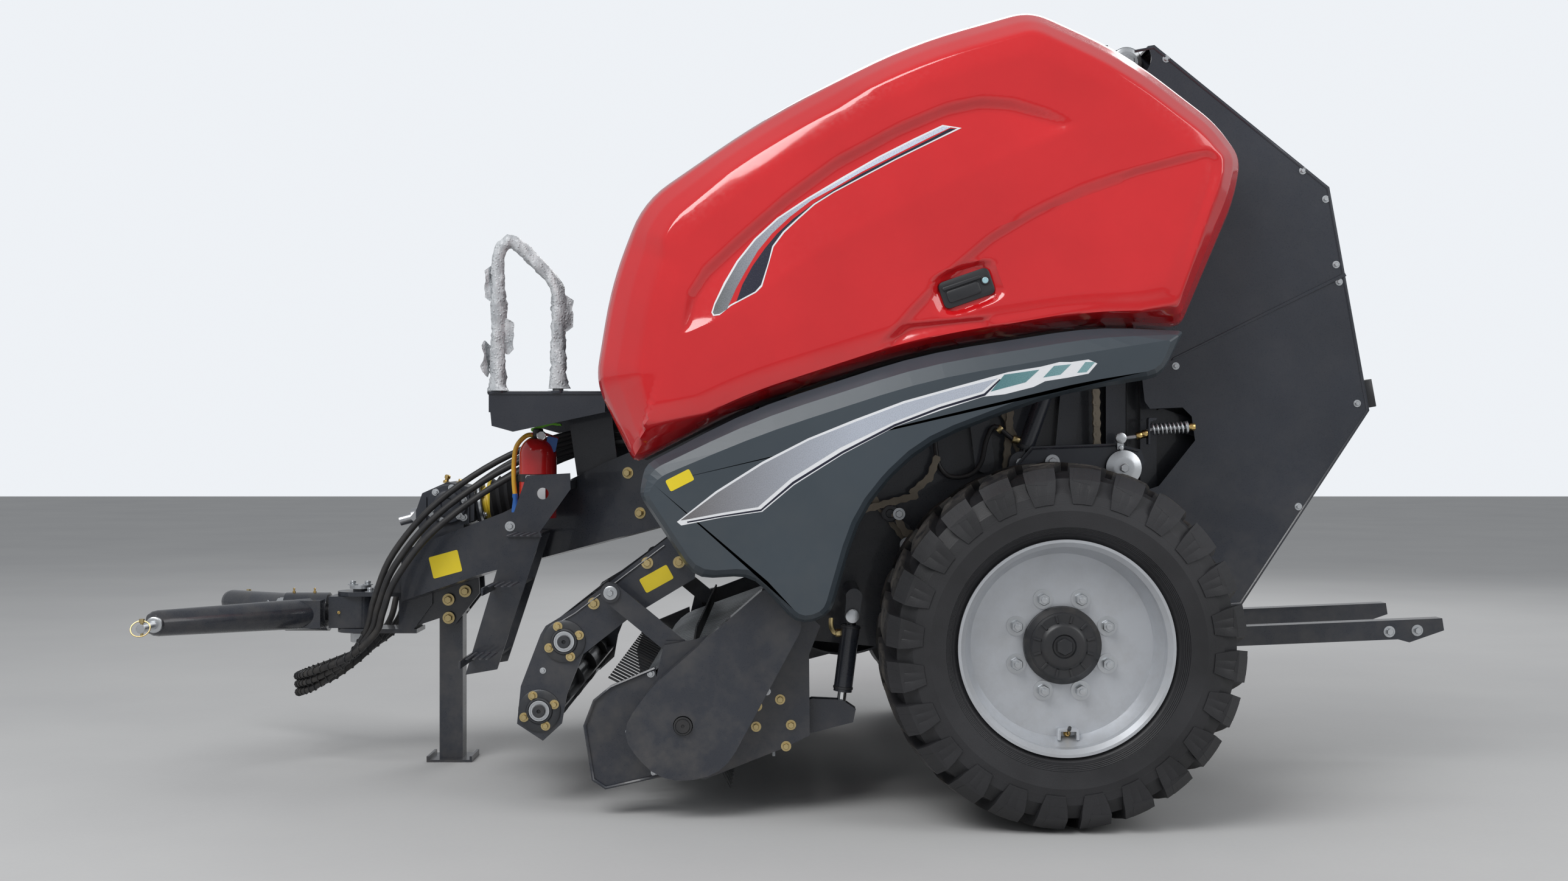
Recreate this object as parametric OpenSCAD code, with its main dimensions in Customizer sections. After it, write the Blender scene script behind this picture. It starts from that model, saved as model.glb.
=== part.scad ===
// Round baler, a towed machine that rolls cut grass into round bales.
// Millimetres. X runs from the hitch (-) to the tailgate (+), Y across, Z up.
// The origin lies on the ground, under the middle of the machine.
// Side views are drawn as [x, z] points and then given their depth along Y.
// Every left piece is drawn at negative Y, and right pieces are its mirror image.

/* [Wheels] */
// Distance of the axle behind the origin
axle_x = 725; // [700:5:750]
// Outer diameter over the tyre lugs, which sets the height of the axle
tyre_d = 1016; // [1000:2:1030]
// Width of the tyre
tyre_w = 500; // [480:5:510]
// Distance between the middles of the two tyres
track = 2040; // [2030:5:2080]
// Height of a tyre lug
lug_h = 24; // [15:1:30]
// Lugs on one side of the tread
lug_count = 24; // [20:1:28]
// Diameter of the rim where the tyre's beads sit
rim_d = 571.5; // [560:0.5:580]
// Width of the rim between its flanges
rim_w = 406; // [390:1:420]
// Width across the flats of the square axle beam
axle_beam = 90; // [80:1:95]
// Diameter of the axle spindle
spindle_d = 76; // [60:1:80]

/* [Bale chamber] */
// Diameter of a finished bale
bale_d = 1300; // [1280:5:1305]
// Width of the chamber between its side walls
chamber_w = 1200; // [1150:5:1210]
// Distance of the chamber's middle behind the origin
chamber_x = 772; // [765:1:778]
// Height of the chamber's middle
chamber_z = 1358; // [1350:1:1365]
// Outer diameter of a ribbed chamber roller
roller_d = 180; // [160:2:184]
// Ribs round a chamber roller
roller_ribs = 10; // [8:1:12]
// Thickness of the side walls
wall_t = 8; // [5:0.5:10]
// Depth of the flange round each side wall
flange_w = 72; // [60:1:76]
// Thickness of the sheet covers
sheet_t = 5; // [3:0.5:6]
// Half width over the tailgate's side panels
gate_y = 745; // [735:1:750]

/* [Doors and fairings] */
// Half width over the side doors
door_y = 1130; // [1100:5:1160]
// Half width at the inner rim of the side doors
door_rim_y = 790; // [780:1:800]
// Thickness of the door and fairing shells
shell_t = 8; // [6:0.5:10]
// Half width over the lower fairings
fairing_y = 1180; // [1150:5:1200]
// Half width at the inner rim of the fairings
fairing_rim_y = 1092; // [1080:1:1100]

/* [Hitch] */
// Distance between the middles of the two lower link arms at their tips
yoke_w = 820; // [780:5:860]
// Diameter of a yoke arm at its root
yoke_root_d = 101; // [95:1:108]
// Diameter of a yoke arm at its tip
yoke_tip_d = 83; // [76:1:88]
// Diameter of the lower link pins
link_pin_d = 28; // [22:1:30]
// Length of the lower link pins
link_pin_l = 130; // [110:1:150]
// Diameter of the upright pin of the swivel
swivel_pin_d = 50; // [40:1:54]

/* [Pickup] */
// Half width at the pickup's side plates
pickup_y = 975; // [960:5:985]
// Radius at the tips of the pickup's tines
tine_r = 257; // [245:1:258]
// Diameter of the tine wire
tine_d = 7; // [5:0.5:8]
// Rows of tines round the reel
tine_rows = 5; // [4:1:6]
// Gaps between the stripper bands, with one tine of each row in each
band_gaps = 26; // [20:1:28]
// Diameter of a crop press roller over its fins
press_d = 128; // [110:2:132]

/* [Stand and ramp] */
// Width across the flats of the parking stand's leg
stand_w = 78; // [70:1:84]
// Distance between the middles of the ramp's two rails
ramp_w = 570; // [540:5:600]

/* [Hidden] */
$fn = 48;

paint_dark = "#2b3038";
paint_red = "#c4141c";
plastic_grey = "#4b545c";
zinc = "#c9ccd0";
rubber_black = "#1b1b1d";
rim_silver = "#c8cdd2";

// Gap between a turning piece and what it turns on
running = 0.05;
// Gap between pieces of different bodies that lie side by side
side_gap = 0.5;

axle_z = tyre_d / 2;
chamber_y = chamber_w / 2;
wall_y = chamber_y + wall_t;
flange_y = wall_y + flange_w;
roller_ring = bale_d / 2 + roller_d / 2 + 5;
chamber = [chamber_x, chamber_z];
// Where the side walls divide between the chassis and the tailgate
split_x = 990;
split_gap = 10;
gate_hinge = [990, 2225];
gate_pin_d = 50;
gate_angles = [-66, -45, -24, -3, 18, 39, 60];
front_angles = [81, 102, 123, 144, 165, 186, 207, 250, 276];
rotor = [130, 670];
rotor_r = 220;
// Pivot of the pickup, and the middle of its reel
lift_pivot = [-5, 560];
reel = [-335, 273];
// Pivot of the crop press arms, their rollers and the link that lets them float
press_pivot = [-327, 762];
press_upper = [-694, 489];
press_lower = [-767, 286];
link_arm_pin = [-551, 638];
link_slot_pin = [-358, 479];
press_arm_y = 862;
press_arm_t = 12;
// Inner faces of the press links, and of the slotted brackets on the pickup
link_y = 936;
slot_y = 955;
// Pins of the pickup's lift cylinders and of the tailgate's cylinders
lift_top = [148, 570];
lift_eye = [114, 299];
gate_foot = [661, 1010];
gate_eye = [1035, 2058];
cylinder_y = wall_y + 102;
// Diameters of the rods of the tailgate and pickup cylinders
gate_rod_d = 30;
lift_rod_d = 26;
swivel = [-1485, 498];
stand_pivot = [-1174, 545];
stand_bolts = [stand_pivot, [-1173, 484], [-1118, 573]];
// Middle of the stand's leg, and the gap between the leg and the sleeve it slides in
stand_x = -1171;
stand_gap = 0.5;
ramp_pivot = [1290, 446];

// Plain vector helpers
function unit(v) = v / norm(v);
function xz(p) = [p[0], p[1]];
function polar(c, r, a) = [c[0] + r * cos(a), c[1] + r * sin(a)];
function angle_of(v) = atan2(v[1], v[0]);

// Rounds each corner [x, z, cut] of an outline over the length cut on both sides
function soft(c, steps = 4) = [
    for (i = [0:len(c) - 1])
        let (
            p = xz(c[i]),
            a = xz(c[(i + len(c) - 1) % len(c)]),
            b = xz(c[(i + 1) % len(c)]),
            t = min(c[i][2], 0.45 * norm(a - p), 0.45 * norm(b - p)),
            s = p + t * unit(a - p),
            e = p + t * unit(b - p)
        )
        each c[i][2] == 0 ? [p] : [for (k = [0:steps]) let (u = k / steps)
            (1 - u) * (1 - u) * s + 2 * u * (1 - u) * p + u * u * e]
];

// Moves the corners of an anticlockwise outline inwards, each by its own distance in d
function inset(c, d) = [
    for (i = [0:len(c) - 1])
        let (
            p = xz(c[i]),
            a = xz(c[(i + len(c) - 1) % len(c)]),
            b = xz(c[(i + 1) % len(c)]),
            n1 = unit([a[1] - p[1], p[0] - a[0]]),
            n2 = unit([p[1] - b[1], b[0] - p[0]]),
            m = unit(n1 + n2),
            q = p + m * (is_list(d) ? d[i] : d) / (m * n1)
        )
        [q[0], q[1], len(c[i]) > 2 ? c[i][2] : 0]
];
function corners(c) = [for (p = c) xz(p)];

// Draws its side view as a plate whose faces lie at y0 and y1
module plate(y0, y1) {
    translate([0, max(y0, y1), 0]) rotate([90, 0, 0]) linear_extrude(abs(y1 - y0)) children();
}
// A round bar along Y between y0 and y1
module bar(p, d, y0, y1) {
    translate([p[0], max(y0, y1), p[1]]) rotate([90, 0, 0]) cylinder(d = d, h = abs(y1 - y0));
}
// A round bar from point a to point b
module rod(a, b, d) {
    v = b - a;
    translate(a) rotate([0, acos(v[2] / norm(v)), atan2(v[1], v[0])]) cylinder(d = d, h = norm(v));
}
// A flat link with round ends between two side view points
module link_shape(a, b, w) {
    translate(a) circle(d = w);
    translate(b) circle(d = w);
    translate(a) rotate(angle_of(b - a)) translate([0, 0.2 - w / 2]) square([norm(b - a), w - 0.4]);
}
module disc(p, d) { translate(p) circle(d = d); }
// The right side's copy of a piece drawn on the left
module right_side() { mirror([0, 1, 0]) children(); }
module both_sides() { children(); right_side() children(); }

// A closed skin over rings of points, with a cap on the first and on the last ring
module skin(rings) {
    n = len(rings[0]);
    m = len(rings);
    polyhedron(
        [for (r = rings) each r],
        concat(
            [[for (i = [n - 1:-1:0]) i]],
            [for (j = [0:m - 2], i = [0:n - 1]) each [
                [j * n + i, (j + 1) * n + (i + 1) % n, (j + 1) * n + i],
                [j * n + i, j * n + (i + 1) % n, (j + 1) * n + (i + 1) % n]]],
            [[for (i = [0:n - 1]) (m - 1) * n + i]]
        ),
        convexity = 10
    );
}
// A round tube along the points p, which leaves and arrives in the directions first and last
tube_sides = 8;
// A direction that no tube runs in
tube_up = [1, 0.3, -1.2];
module tube(p, d, first, last) {
    skin([for (i = [0:len(p) - 1])
        let (
            t = i == 0 ? first : i == len(p) - 1 ? last : unit(p[i + 1] - p[i - 1]),
            side = unit(cross(t, tube_up)),
            up = cross(side, t)
        )
        [for (k = [0:tube_sides - 1]) let (a = k * 360 / tube_sides)
            p[i] + d / 2 * (side * cos(a) + up * sin(a))]]);
}
function ring(c, d, y, steps) = [for (p = soft(inset(c, d), steps)) [p[0], -y, p[1]]];
// A shell whose outline c shrinks by the insets d from its rim at rim_y to its face at face_y.
// Each row of steps is [share of d, extra inset, distance below the face], from the face inwards.
module panel_shell(c, d, rim_y, face_y, t, rows, steps = 3) {
    outer = [for (r = rows) ring(c, d * r[0] + [for (x = d) r[1]], face_y - r[2], steps)];
    inner = [for (r = rows) ring(c, d * r[0] + [for (x = d) r[1] + t], face_y - t - r[2], steps)];
    rim = ring(c, [for (x = d) 0], rim_y, steps);
    rim_in = ring(c, [for (x = d) t], rim_y, steps);
    skin(concat(outer, [rim, rim_in], [for (i = [len(rows) - 1:-1:0]) inner[i]]));
}

// Outline of a side door: corner x, z, length rounded, and how far the face lies inside it
door_corners = [
    [-480, 1012, 25, 95], [-150, 1180, 120, 30], [330, 1335, 140, 30], [820, 1412, 140, 30],
    [1088, 1405, 25, 55], [1240, 1760, 90, 75], [1264, 1885, 45, 80], [1190, 1990, 70, 85],
    [930, 2190, 130, 85], [655, 2315, 60, 85], [300, 2215, 170, 85], [-100, 2010, 180, 95],
    [-455, 1765, 90, 110], [-545, 1530, 110, 130], [-592, 1245, 60, 130]
];
door_rows = [[1, 60, 0], [1, 0, 10], [0.12, 0, 120], [0, 0, 160]];
// Outline of a lower fairing, in the same way
fairing_corners = [
    [-455, 925, 20, 25], [-300, 690, 50, 25], [-140, 700, 50, 25], [-10, 560, 60, 25],
    [80, 585, 45, 25], [165, 880, 110, 25], [330, 1060, 110, 25], [700, 1205, 150, 22],
    [1005, 1255, 40, 22], [1070, 1385, 15, 30], [815, 1396, 110, 70], [332, 1319, 140, 75],
    [-144, 1165, 140, 75], [-440, 1010, 30, 50]
];
fairing_rows = [[1, 0, 0], [0.45, 0, 18], [0, 0, 70]];

// Hinge pins of the doors as [half width, height], and where they lie along the machine
door_pin = [762, 2296];
door_hinge_x = [500, 727];
module side_door() {
    color(paint_red) for (x = door_hinge_x)
        translate([x + 13, 0, 0]) rotate([90, 0, 90]) linear_extrude(12) difference() {
            polygon([[-door_pin[0] + 13, door_pin[1] + 8], [-door_pin[0] + 13, door_pin[1] - 13],
                [-door_rim_y - 4, door_pin[1] - 74], [-door_rim_y - 30, door_pin[1] - 120],
                [-door_rim_y - 60, door_pin[1] - 120], [-door_rim_y - 40, door_pin[1] - 50],
                [-door_pin[0] - 6, door_pin[1] + 12]]);
            translate([-door_pin[0], door_pin[1]]) circle(d = 14 + 2 * running);
        }
    color(paint_red)
        panel_shell([for (p = door_corners) [p[0], p[1], p[2]]], [for (p = door_corners) p[3]],
            door_rim_y, door_y, shell_t, door_rows);
}
module side_fairing() {
    color(plastic_grey)
        panel_shell([for (p = fairing_corners) [p[0], p[1], p[2]]],
            [for (p = fairing_corners) p[3]], fairing_rim_y, fairing_y, shell_t, fairing_rows);
}

// Wheels
tread_r = tyre_d / 2 - lug_h;
bead_r = rim_d / 2;
flange_r = bead_r + 13;
carcass_t = 24;
// Outside of the carcass as [radius, distance from the tyre's middle plane]
carcass = [
    [tread_r, 0], [tread_r - 4, 130], [tread_r - 18, 205], [tread_r - 60, tyre_w / 2 - 8],
    [tread_r - 105, tyre_w / 2], [tread_r - 150, tyre_w / 2 - 9], [flange_r + 14, rim_w / 2 + 10],
    [flange_r + 1, rim_w / 2 - 1], [bead_r, rim_w / 2 - 5]
];
carcass_inside = [
    [bead_r, rim_w / 2 - 30], [bead_r + 30, rim_w / 2 - 8], [tread_r - 150, tyre_w / 2 - 32],
    [tread_r - 105, tyre_w / 2 - 24], [tread_r - 62, tyre_w / 2 - 34], [tread_r - 40, 190], [tread_r - 24, 0]
];
function flip_y(c) = [for (i = [len(c) - 1:-1:0]) [c[i][0], -c[i][1]]];
// Side view of one lug: along the tread, across the tyre
lug_shape = [[-10, 14], [30, 14], [70, 90], [104, 170], [112, 262], [62, 262], [52, 176], [22, 100]];

module wheel_place() {
    translate([axle_x, -track / 2, axle_z]) rotate([90, 0, 0]) children();
}
module lug_ring(count) {
    for (i = [0:count - 1]) rotate(i * 360 / count)
        translate([tyre_d / 2 - 60, 0, 0]) rotate([90, 0, 90]) linear_extrude(70) polygon(lug_shape);
}
module tyre() {
    wheel_place() {
        rotate_extrude() polygon(concat(
            flip_y([for (i = [1:len(carcass) - 1]) carcass[i]]), carcass,
            carcass_inside, flip_y([for (i = [0:len(carcass_inside) - 2]) carcass_inside[i]])));
        intersection() {
            union() {
                lug_ring(lug_count);
                rotate(180 / lug_count) mirror([0, 0, 1]) lug_ring(lug_count);
            }
            rotate_extrude() polygon([
                [tread_r - 30, -205], [tread_r - 70, -tyre_w / 2 + 10], [tread_r - 66, -tyre_w / 2],
                [tread_r - 20, -tyre_w / 2 + 8], [tyre_d / 2 - 12, -205], [tyre_d / 2, -110],
                [tyre_d / 2, 110], [tyre_d / 2 - 12, 205], [tread_r - 20, tyre_w / 2 - 8],
                [tread_r - 66, tyre_w / 2], [tread_r - 70, tyre_w / 2 - 10], [tread_r - 30, 205],
                [tread_r - 10, 0]]);
        }
    }
}
// Rim section as [radius, distance towards the outside], from the inner flange to the outer one
well_r = bead_r - 38;
disc_y = 96;
disc_t = 14;
hub_r = 108;
stud_circle = 275;
rim_section = [
    [flange_r, -rim_w / 2 - 12], [flange_r, -rim_w / 2], [bead_r - 0.3, -rim_w / 2 + 4],
    [bead_r - 0.3, -rim_w / 2 + 38], [well_r, -70], [well_r, 30], [bead_r - 22, 70],
    [bead_r - 22, 120], [bead_r - 0.3, rim_w / 2 - 40], [bead_r - 0.3, rim_w / 2 - 4],
    [flange_r, rim_w / 2], [flange_r, rim_w / 2 + 12], [flange_r - 8, rim_w / 2 + 12],
    [bead_r - 8, rim_w / 2 - 2], [bead_r - 8, rim_w / 2 - 38], [bead_r - 30, 118],
    [bead_r - 30, 72], [well_r - 8, 30], [well_r - 8, -72], [bead_r - 8, -rim_w / 2 + 36],
    [bead_r - 8, -rim_w / 2], [flange_r - 8, -rim_w / 2 - 12]
];
module rim() {
    wheel_place() {
        color(rim_silver) difference() {
            rotate_extrude() polygon([for (i = [len(rim_section) - 1:-1:0]) rim_section[i]]);
        }
        color(rim_silver) translate([0, 0, disc_y]) difference() {
            cylinder(r = bead_r - 29, h = disc_t);
            translate([0, 0, -1]) cylinder(r = hub_r - 6, h = disc_t + 2);
        }
        color(paint_dark) difference() {
            rotate_extrude() polygon([
                [0, disc_y + 58], [0, -40], [70, -40], [76, disc_y - 18], [165, disc_y - 16],
                [165, disc_y], [hub_r - 6, disc_y], [hub_r - 6, disc_y + disc_t], [hub_r, disc_y + disc_t],
                [hub_r, disc_y + 36], [hub_r - 14, disc_y + 50], [60, disc_y + 52], [56, disc_y + 58]]);
            translate([0, 0, -41]) cylinder(d = spindle_d + 2 * running, h = disc_y + 61);
        }
    }
}
// Axle beam with its two spindles and the saddles that bolt to the side walls
spindle_y = track / 2 + disc_y + 16;
module axle() {
    color(paint_dark) {
        translate([axle_x - axle_beam / 2, -track / 2 + 60, axle_z - axle_beam / 2])
            cube([axle_beam, track - 120, axle_beam]);
        both_sides() {
            bar([axle_x, axle_z], spindle_d, -spindle_y, -track / 2 + 70);
            plate(-wall_y, -wall_y - 14) polygon([
                [axle_x - 110, 700], [axle_x + 110, 700], [axle_x + axle_beam / 2 + 12, axle_z - 60],
                [axle_x - axle_beam / 2 - 12, axle_z - 60]]);
        }
        ramp_arms();
    }
}

// Side walls of the chassis
wall_corners = [
    [-60, 600], [-60, 530], [30, 465], [300, 440], [560, 440], [640, axle_z + axle_beam / 2 + 7],
    [split_x - 5, axle_z + axle_beam / 2 + 7], [split_x - 5, gate_hinge[1] - 70], [split_x - 70, gate_hinge[1]],
    [640, 2235], [230, 2090], [-60, 1790], [-125, 1400], [-125, 760]
];
module side_wall() {
    plate(-chamber_y, -wall_y) polygon(wall_corners);
}
// Band of width w along the inside of an outline
module band(c, w) {
    difference() {
        polygon(corners(c));
        polygon(corners(inset(c, w)));
    }
}
module side_frame() {
    color(paint_dark) {
        side_wall();
        // Folded flange round the wall, open at the axle
        difference() {
            union() {
                plate(-wall_y, -flange_y) band(wall_corners, 6);
                plate(-flange_y + 6, -flange_y) band(wall_corners, 60);
            }
            plate(-wall_y + 1, -flange_y - 1) translate([-200, 400]) square([1250, 290]);
        }
        // Uprights and braces on the outside of the wall
        for (s = [[[560, 1010], [430, 2110]], [[800, 1000], [905, 2150]], [[110, 700], [110, 1850]]])
            plate(-wall_y, -wall_y - 50) link_shape(s[0], s[1], 60);
        // Ears that hold the tailgate's hinge tube
        plate(-flange_y + 25, -flange_y + 13) {
            disc(gate_hinge, 96);
            polygon([[990, 2273], [850, 2228], [850, 2100], [940, 2100], [1022, 2190]]);
        }
        // Stub that the pickup swings on
        bar(lift_pivot, 40, -wall_y, -wall_y - 60);
        plate(-wall_y, -wall_y - 14) disc(lift_pivot, 90);
        // Bracket for the top pin of the lift cylinder
        bar([lift_top[0] + 5, lift_top[1] + 55], 48, -wall_y, -882);
        for (y = [882, 922]) plate(-y, -y - 10) link_shape(lift_top, [lift_top[0] + 5, lift_top[1] + 55], 44);
        bar([lift_top[0] + 5, lift_top[1] + 55], 48, -882, -932);
        bar(lift_top, 20, -878, -936);
        // Arm and stub that the crop press swings on
        plate(-wall_y, -wall_y - 12) polygon([[-125, 900], [-60, 900], [-60, 700], [-125, 700],
            [press_pivot[0], press_pivot[1] - 45], [press_pivot[0], press_pivot[1] + 45]]);
        bar(press_pivot, 90, -wall_y, -wall_y - 30);
        bar(press_pivot, 50, -wall_y - 30, -press_arm_y + press_arm_t + side_gap);
        bar(press_pivot, 36, -press_arm_y + press_arm_t + side_gap + 1, -press_arm_y - 14);
    }
}
// Feet of the tailgate cylinders: a block on the side wall with two lugs and a pin
module gate_feet() {
    color(paint_dark) both_sides() {
        for (y = [cylinder_y - 25, cylinder_y + 16]) plate(-y, -y - 8) {
            disc(gate_foot, 70);
            polygon([[626, 1008], [696, 1008], [720, 905], [600, 905]]);
        }
        plate(-wall_y, -cylinder_y - 24) translate([600, 905]) square([120, 45]);
        bar(gate_foot, 30, -cylinder_y - 24, -cylinder_y + 25);
    }
}
// Posts between the side walls and the lower fairings
post_places = [[-40, 1030], [420, 1180], [880, 1300]];
module fairing_posts() {
    color(paint_dark) both_sides() for (p = post_places) bar(p, 34, -wall_y, -fairing_y + shell_t);
}
// Ribbed roller across the chamber
module chamber_roller(p) {
    translate([p[0], chamber_y, p[1]]) rotate([90, 0, 0]) {
        cylinder(d = 60, h = chamber_w);
        translate([0, 0, 8]) linear_extrude(chamber_w - 16) {
            circle(d = roller_d - 24);
            for (i = [0:roller_ribs - 1]) rotate(i * 360 / roller_ribs)
                translate([roller_d / 2 - 20, -6]) square([20, 12]);
        }
    }
}
module chamber_rollers() {
    color("#3a3f46") for (a = front_angles) chamber_roller(polar(chamber, roller_ring, a));
}
// Beams across the chassis and the curved floor under the feed rotor
module cross_beams() {
    color(paint_dark) {
        for (b = [[-119, 880, 70, 330], [-119, 1500, 70, 70], [715, 2130, 75, 66]])
            translate([b[0], -chamber_y, b[1]]) cube([b[2], chamber_w, b[3]]);
        plate(-chamber_y, chamber_y) difference() {
            disc(rotor, 2 * rotor_r + 62);
            disc(rotor, 2 * rotor_r + 50);
            translate(rotor) polygon([[0, 0], polar([0, 0], 500, -65), [500, 500], [-500, 500],
                polar([0, 0], 500, 228)]);
        }
    }
}

// Tailgate
gate_corners = [
    [split_x + 5, 560], [1321, 585], [1703, 1168], [1583, 1837], [1059, 2263], [split_x + 5, 2252]
];
module tailgate_frame() {
    color(paint_dark) both_sides() {
        plate(-chamber_y, -wall_y) difference() {
            polygon(corners(inset(gate_corners, [for (c = gate_corners) sheet_t])));
            disc(gate_hinge, 120);
        }
        // Ears on the hinge tube, run down the wall as ribs
        plate(-flange_y + 50, -flange_y + 28) difference() {
            union() {
                disc(gate_hinge, 92);
                polygon([[1000, 2190], [1040, 2236], [1176, 2140], [1110, 2060]]);
            }
            disc(gate_hinge, gate_pin_d + 2 * 0.3);
        }
        plate(-wall_y, -flange_y + 50) polygon([[1080, 2170], [1110, 2190], [1170, 2130], [1120, 2070]]);
        // Ribs
        for (s = [[[1060, 1990], [1060, 700]], [[1120, 1300], [1560, 1600]], [[1100, 1150], [1540, 1000]]])
            plate(-wall_y, -wall_y - 40) link_shape(s[0], s[1], 50);
        // Lug for the eye of the tailgate cylinder
        for (y = [cylinder_y - 24, cylinder_y + 16])
            plate(-y, -y - 8) {
                disc(gate_eye, 64);
                polygon([[1014, 2034], [1056, 2082], [1224, 2009], [1190, 1960]]);
            }
        plate(-wall_y, -cylinder_y - 24) translate([1180, 1965]) square([44, 44]);
    }
}
module tailgate_shell() {
    color(paint_dark) {
        // Skin folded round the rear, from the top to the bottom
        plate(-gate_y + sheet_t, gate_y - sheet_t) difference() {
            polygon(corners(gate_corners));
            disc(gate_hinge, 120);
            polygon(corners(inset(gate_corners, sheet_t)));
            translate([split_x - 20, 500]) square([30, 1750]);
        }
        both_sides() plate(-gate_y + sheet_t, -gate_y) difference() {
            polygon(corners(gate_corners));
            // Cut-out round the lock lever
            polygon([[950, 900], [1073, 942], [1181, 1078], [1171, 1150], [1144, 1177], [1046, 1173],
                [1030, 1195], [1022, 1268], [950, 1300]]);
            disc(gate_hinge, 120);
        }
    }
}
module tailgate_rollers() {
    color("#3a3f46") for (a = gate_angles) chamber_roller(polar(chamber, roller_ring, a));
}
module tail_lamps() {
    color("orangered") both_sides()
        translate([gate_corners[2][0], -gate_y + 20, gate_corners[2][1]])
            rotate([0, 90 - angle_of(gate_corners[3] - gate_corners[2]), 0])
                translate([0.3, 0, 20]) cube([22, 110, 60]);
}
module hinge_tube() {
    bar(gate_hinge, gate_pin_d, -flange_y + 25, flange_y - 25);
}
// Cylinders of the tailgate: barrels pinned to the chassis, rods pinned to the tailgate
gate_dir = unit(gate_eye - gate_foot);
gate_len = norm(gate_eye - gate_foot);
function along(p, dir, s, y) = [p[0] + dir[0] * s, -y, p[1] + dir[1] * s];
module gate_barrels() {
    color(paint_dark) both_sides() {
        plate(-cylinder_y + 15.5, -cylinder_y - 15.5) difference() {
            disc(gate_foot, 62);
            disc(gate_foot, 30 + 2 * running);
        }
        rod(along(gate_foot, gate_dir, 18, cylinder_y), along(gate_foot, gate_dir, 50, cylinder_y), 30);
        difference() {
            rod(along(gate_foot, gate_dir, 42, cylinder_y), along(gate_foot, gate_dir, gate_len - 190, cylinder_y),
                50);
            rod(along(gate_foot, gate_dir, 60, cylinder_y), along(gate_foot, gate_dir, gate_len, cylinder_y),
                gate_rod_d + 2 * running);
        }
    }
}
module gate_rods() {
    color(zinc) both_sides() {
        rod(along(gate_foot, gate_dir, 420, cylinder_y), along(gate_foot, gate_dir, gate_len - 20, cylinder_y),
            gate_rod_d);
        plate(-cylinder_y + 15.5, -cylinder_y - 15.5) difference() {
            disc(gate_eye, 56);
            disc(gate_eye, 31);
        }
    }
}

// Drawbar
beam_yaw = 17;
beam_profile = [[-1300, 712], [-1300, 546], [-1025, 642], [-544, 774], [-125, 889], [-125, 1206], [-613, 1005],
    [-949, 843]];
// The profile as it is cut, longer by the yaw so that its side view keeps the profile
beam_cut = [for (p = beam_profile) [-1300 + (p[0] + 1300) / cos(beam_yaw), p[1]]];
beam_w = 100;
beam_wall = 8;
module drawbar_beam() {
    translate([-1300, -112, 0]) rotate([0, 0, -beam_yaw]) translate([1300, 0, 0])
        difference() {
            plate(beam_w / 2, -beam_w / 2) polygon(beam_cut);
            plate(beam_w / 2 - beam_wall, -beam_w / 2 + beam_wall) polygon(corners(inset(beam_cut, beam_wall)));
        }
}
module drawbar() {
    color(paint_dark) {
        difference() {
            both_sides() drawbar_beam();
            translate([-119, -700, 700]) cube([400, 1400, 700]);
        }
        // Box and plates of the head, which carry the swivel's upright pin
        translate([-1400, -150, 574]) cube([140, 300, 12]);
        for (z = [[555, 14], [432, 14]]) difference() {
            union() {
                translate([-1480, -75, z[0]]) cube([200, 150, z[1]]);
                translate([swivel[0], 0, z[0]]) cylinder(d = 150, h = z[1]);
            }
            translate([swivel[0], 0, z[0] - 1]) cylinder(d = swivel_pin_d + 2 * running, h = z[1] + 2);
        }
        plate(75, -75) polygon([[-1340, 446], [-1290, 446], [-1228, 530], [-1228, 640], [-1300, 640], [-1340, 569]]);
        plate(150, -150) polygon([[-1345, 586], [-1300, 712], [-1240, 712], [-1240, 586]]);
        // Ears for the parking stand
        for (y = [-62, 50]) plate(y, y + 12)
            polygon([[-1342, 530], [-1290, 600], [-1076, 640], [-1071, 566], [-1152, 462], [-1179, 459],
                [-1202, 483], [-1328, 441]]);
        for (s = [-1, 1], b = stand_bolts) bar(b, 30, s * 61, s * 74, $fn = 6);
        // Sleeve of the stand, hung from a strap between the beams
        difference() {
            union() {
                translate([stand_x - 50, -50, 500]) cube([100, 100, 112]);
                translate([-1290, -80, 604]) cube([180, 160, 14]);
            }
            translate([stand_x, 0, 560])
                cube([stand_w + 2 * stand_gap, stand_w + 2 * stand_gap, 200], center = true);
        }
        // Table for the gearbox and cross bar
        plate(150, -150) polygon([[-1262, 722], [-1110, 778], [-1110, 800], [-1262, 744]]);
        translate([-620, -280, 785]) cube([60, 560, 70]);
        // Arm that carries the ladder
        translate([-762, -ladder_y, 925]) cube([46, ladder_y - 322, 28]);
    }
}
// Parking stand: a square leg that slides up in its sleeve, on a ribbed foot
module parking_stand() {
    color(paint_dark) {
        difference() {
            translate([stand_x - stand_w / 2, -stand_w / 2, 8])
                cube([stand_w, stand_w, stand_pivot[1] + 12]);
            translate([stand_x - stand_w / 2 + 6, -stand_w / 2 + 6, 20])
                cube([stand_w - 12, stand_w - 12, 600]);
        }
        translate([stand_x - 76, -76, 0]) cube([152, 152, 8]);
        for (x = [stand_x - 76, stand_x + 68]) translate([x, -76, 8]) cube([8, 152, 12]);
    }
}
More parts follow.
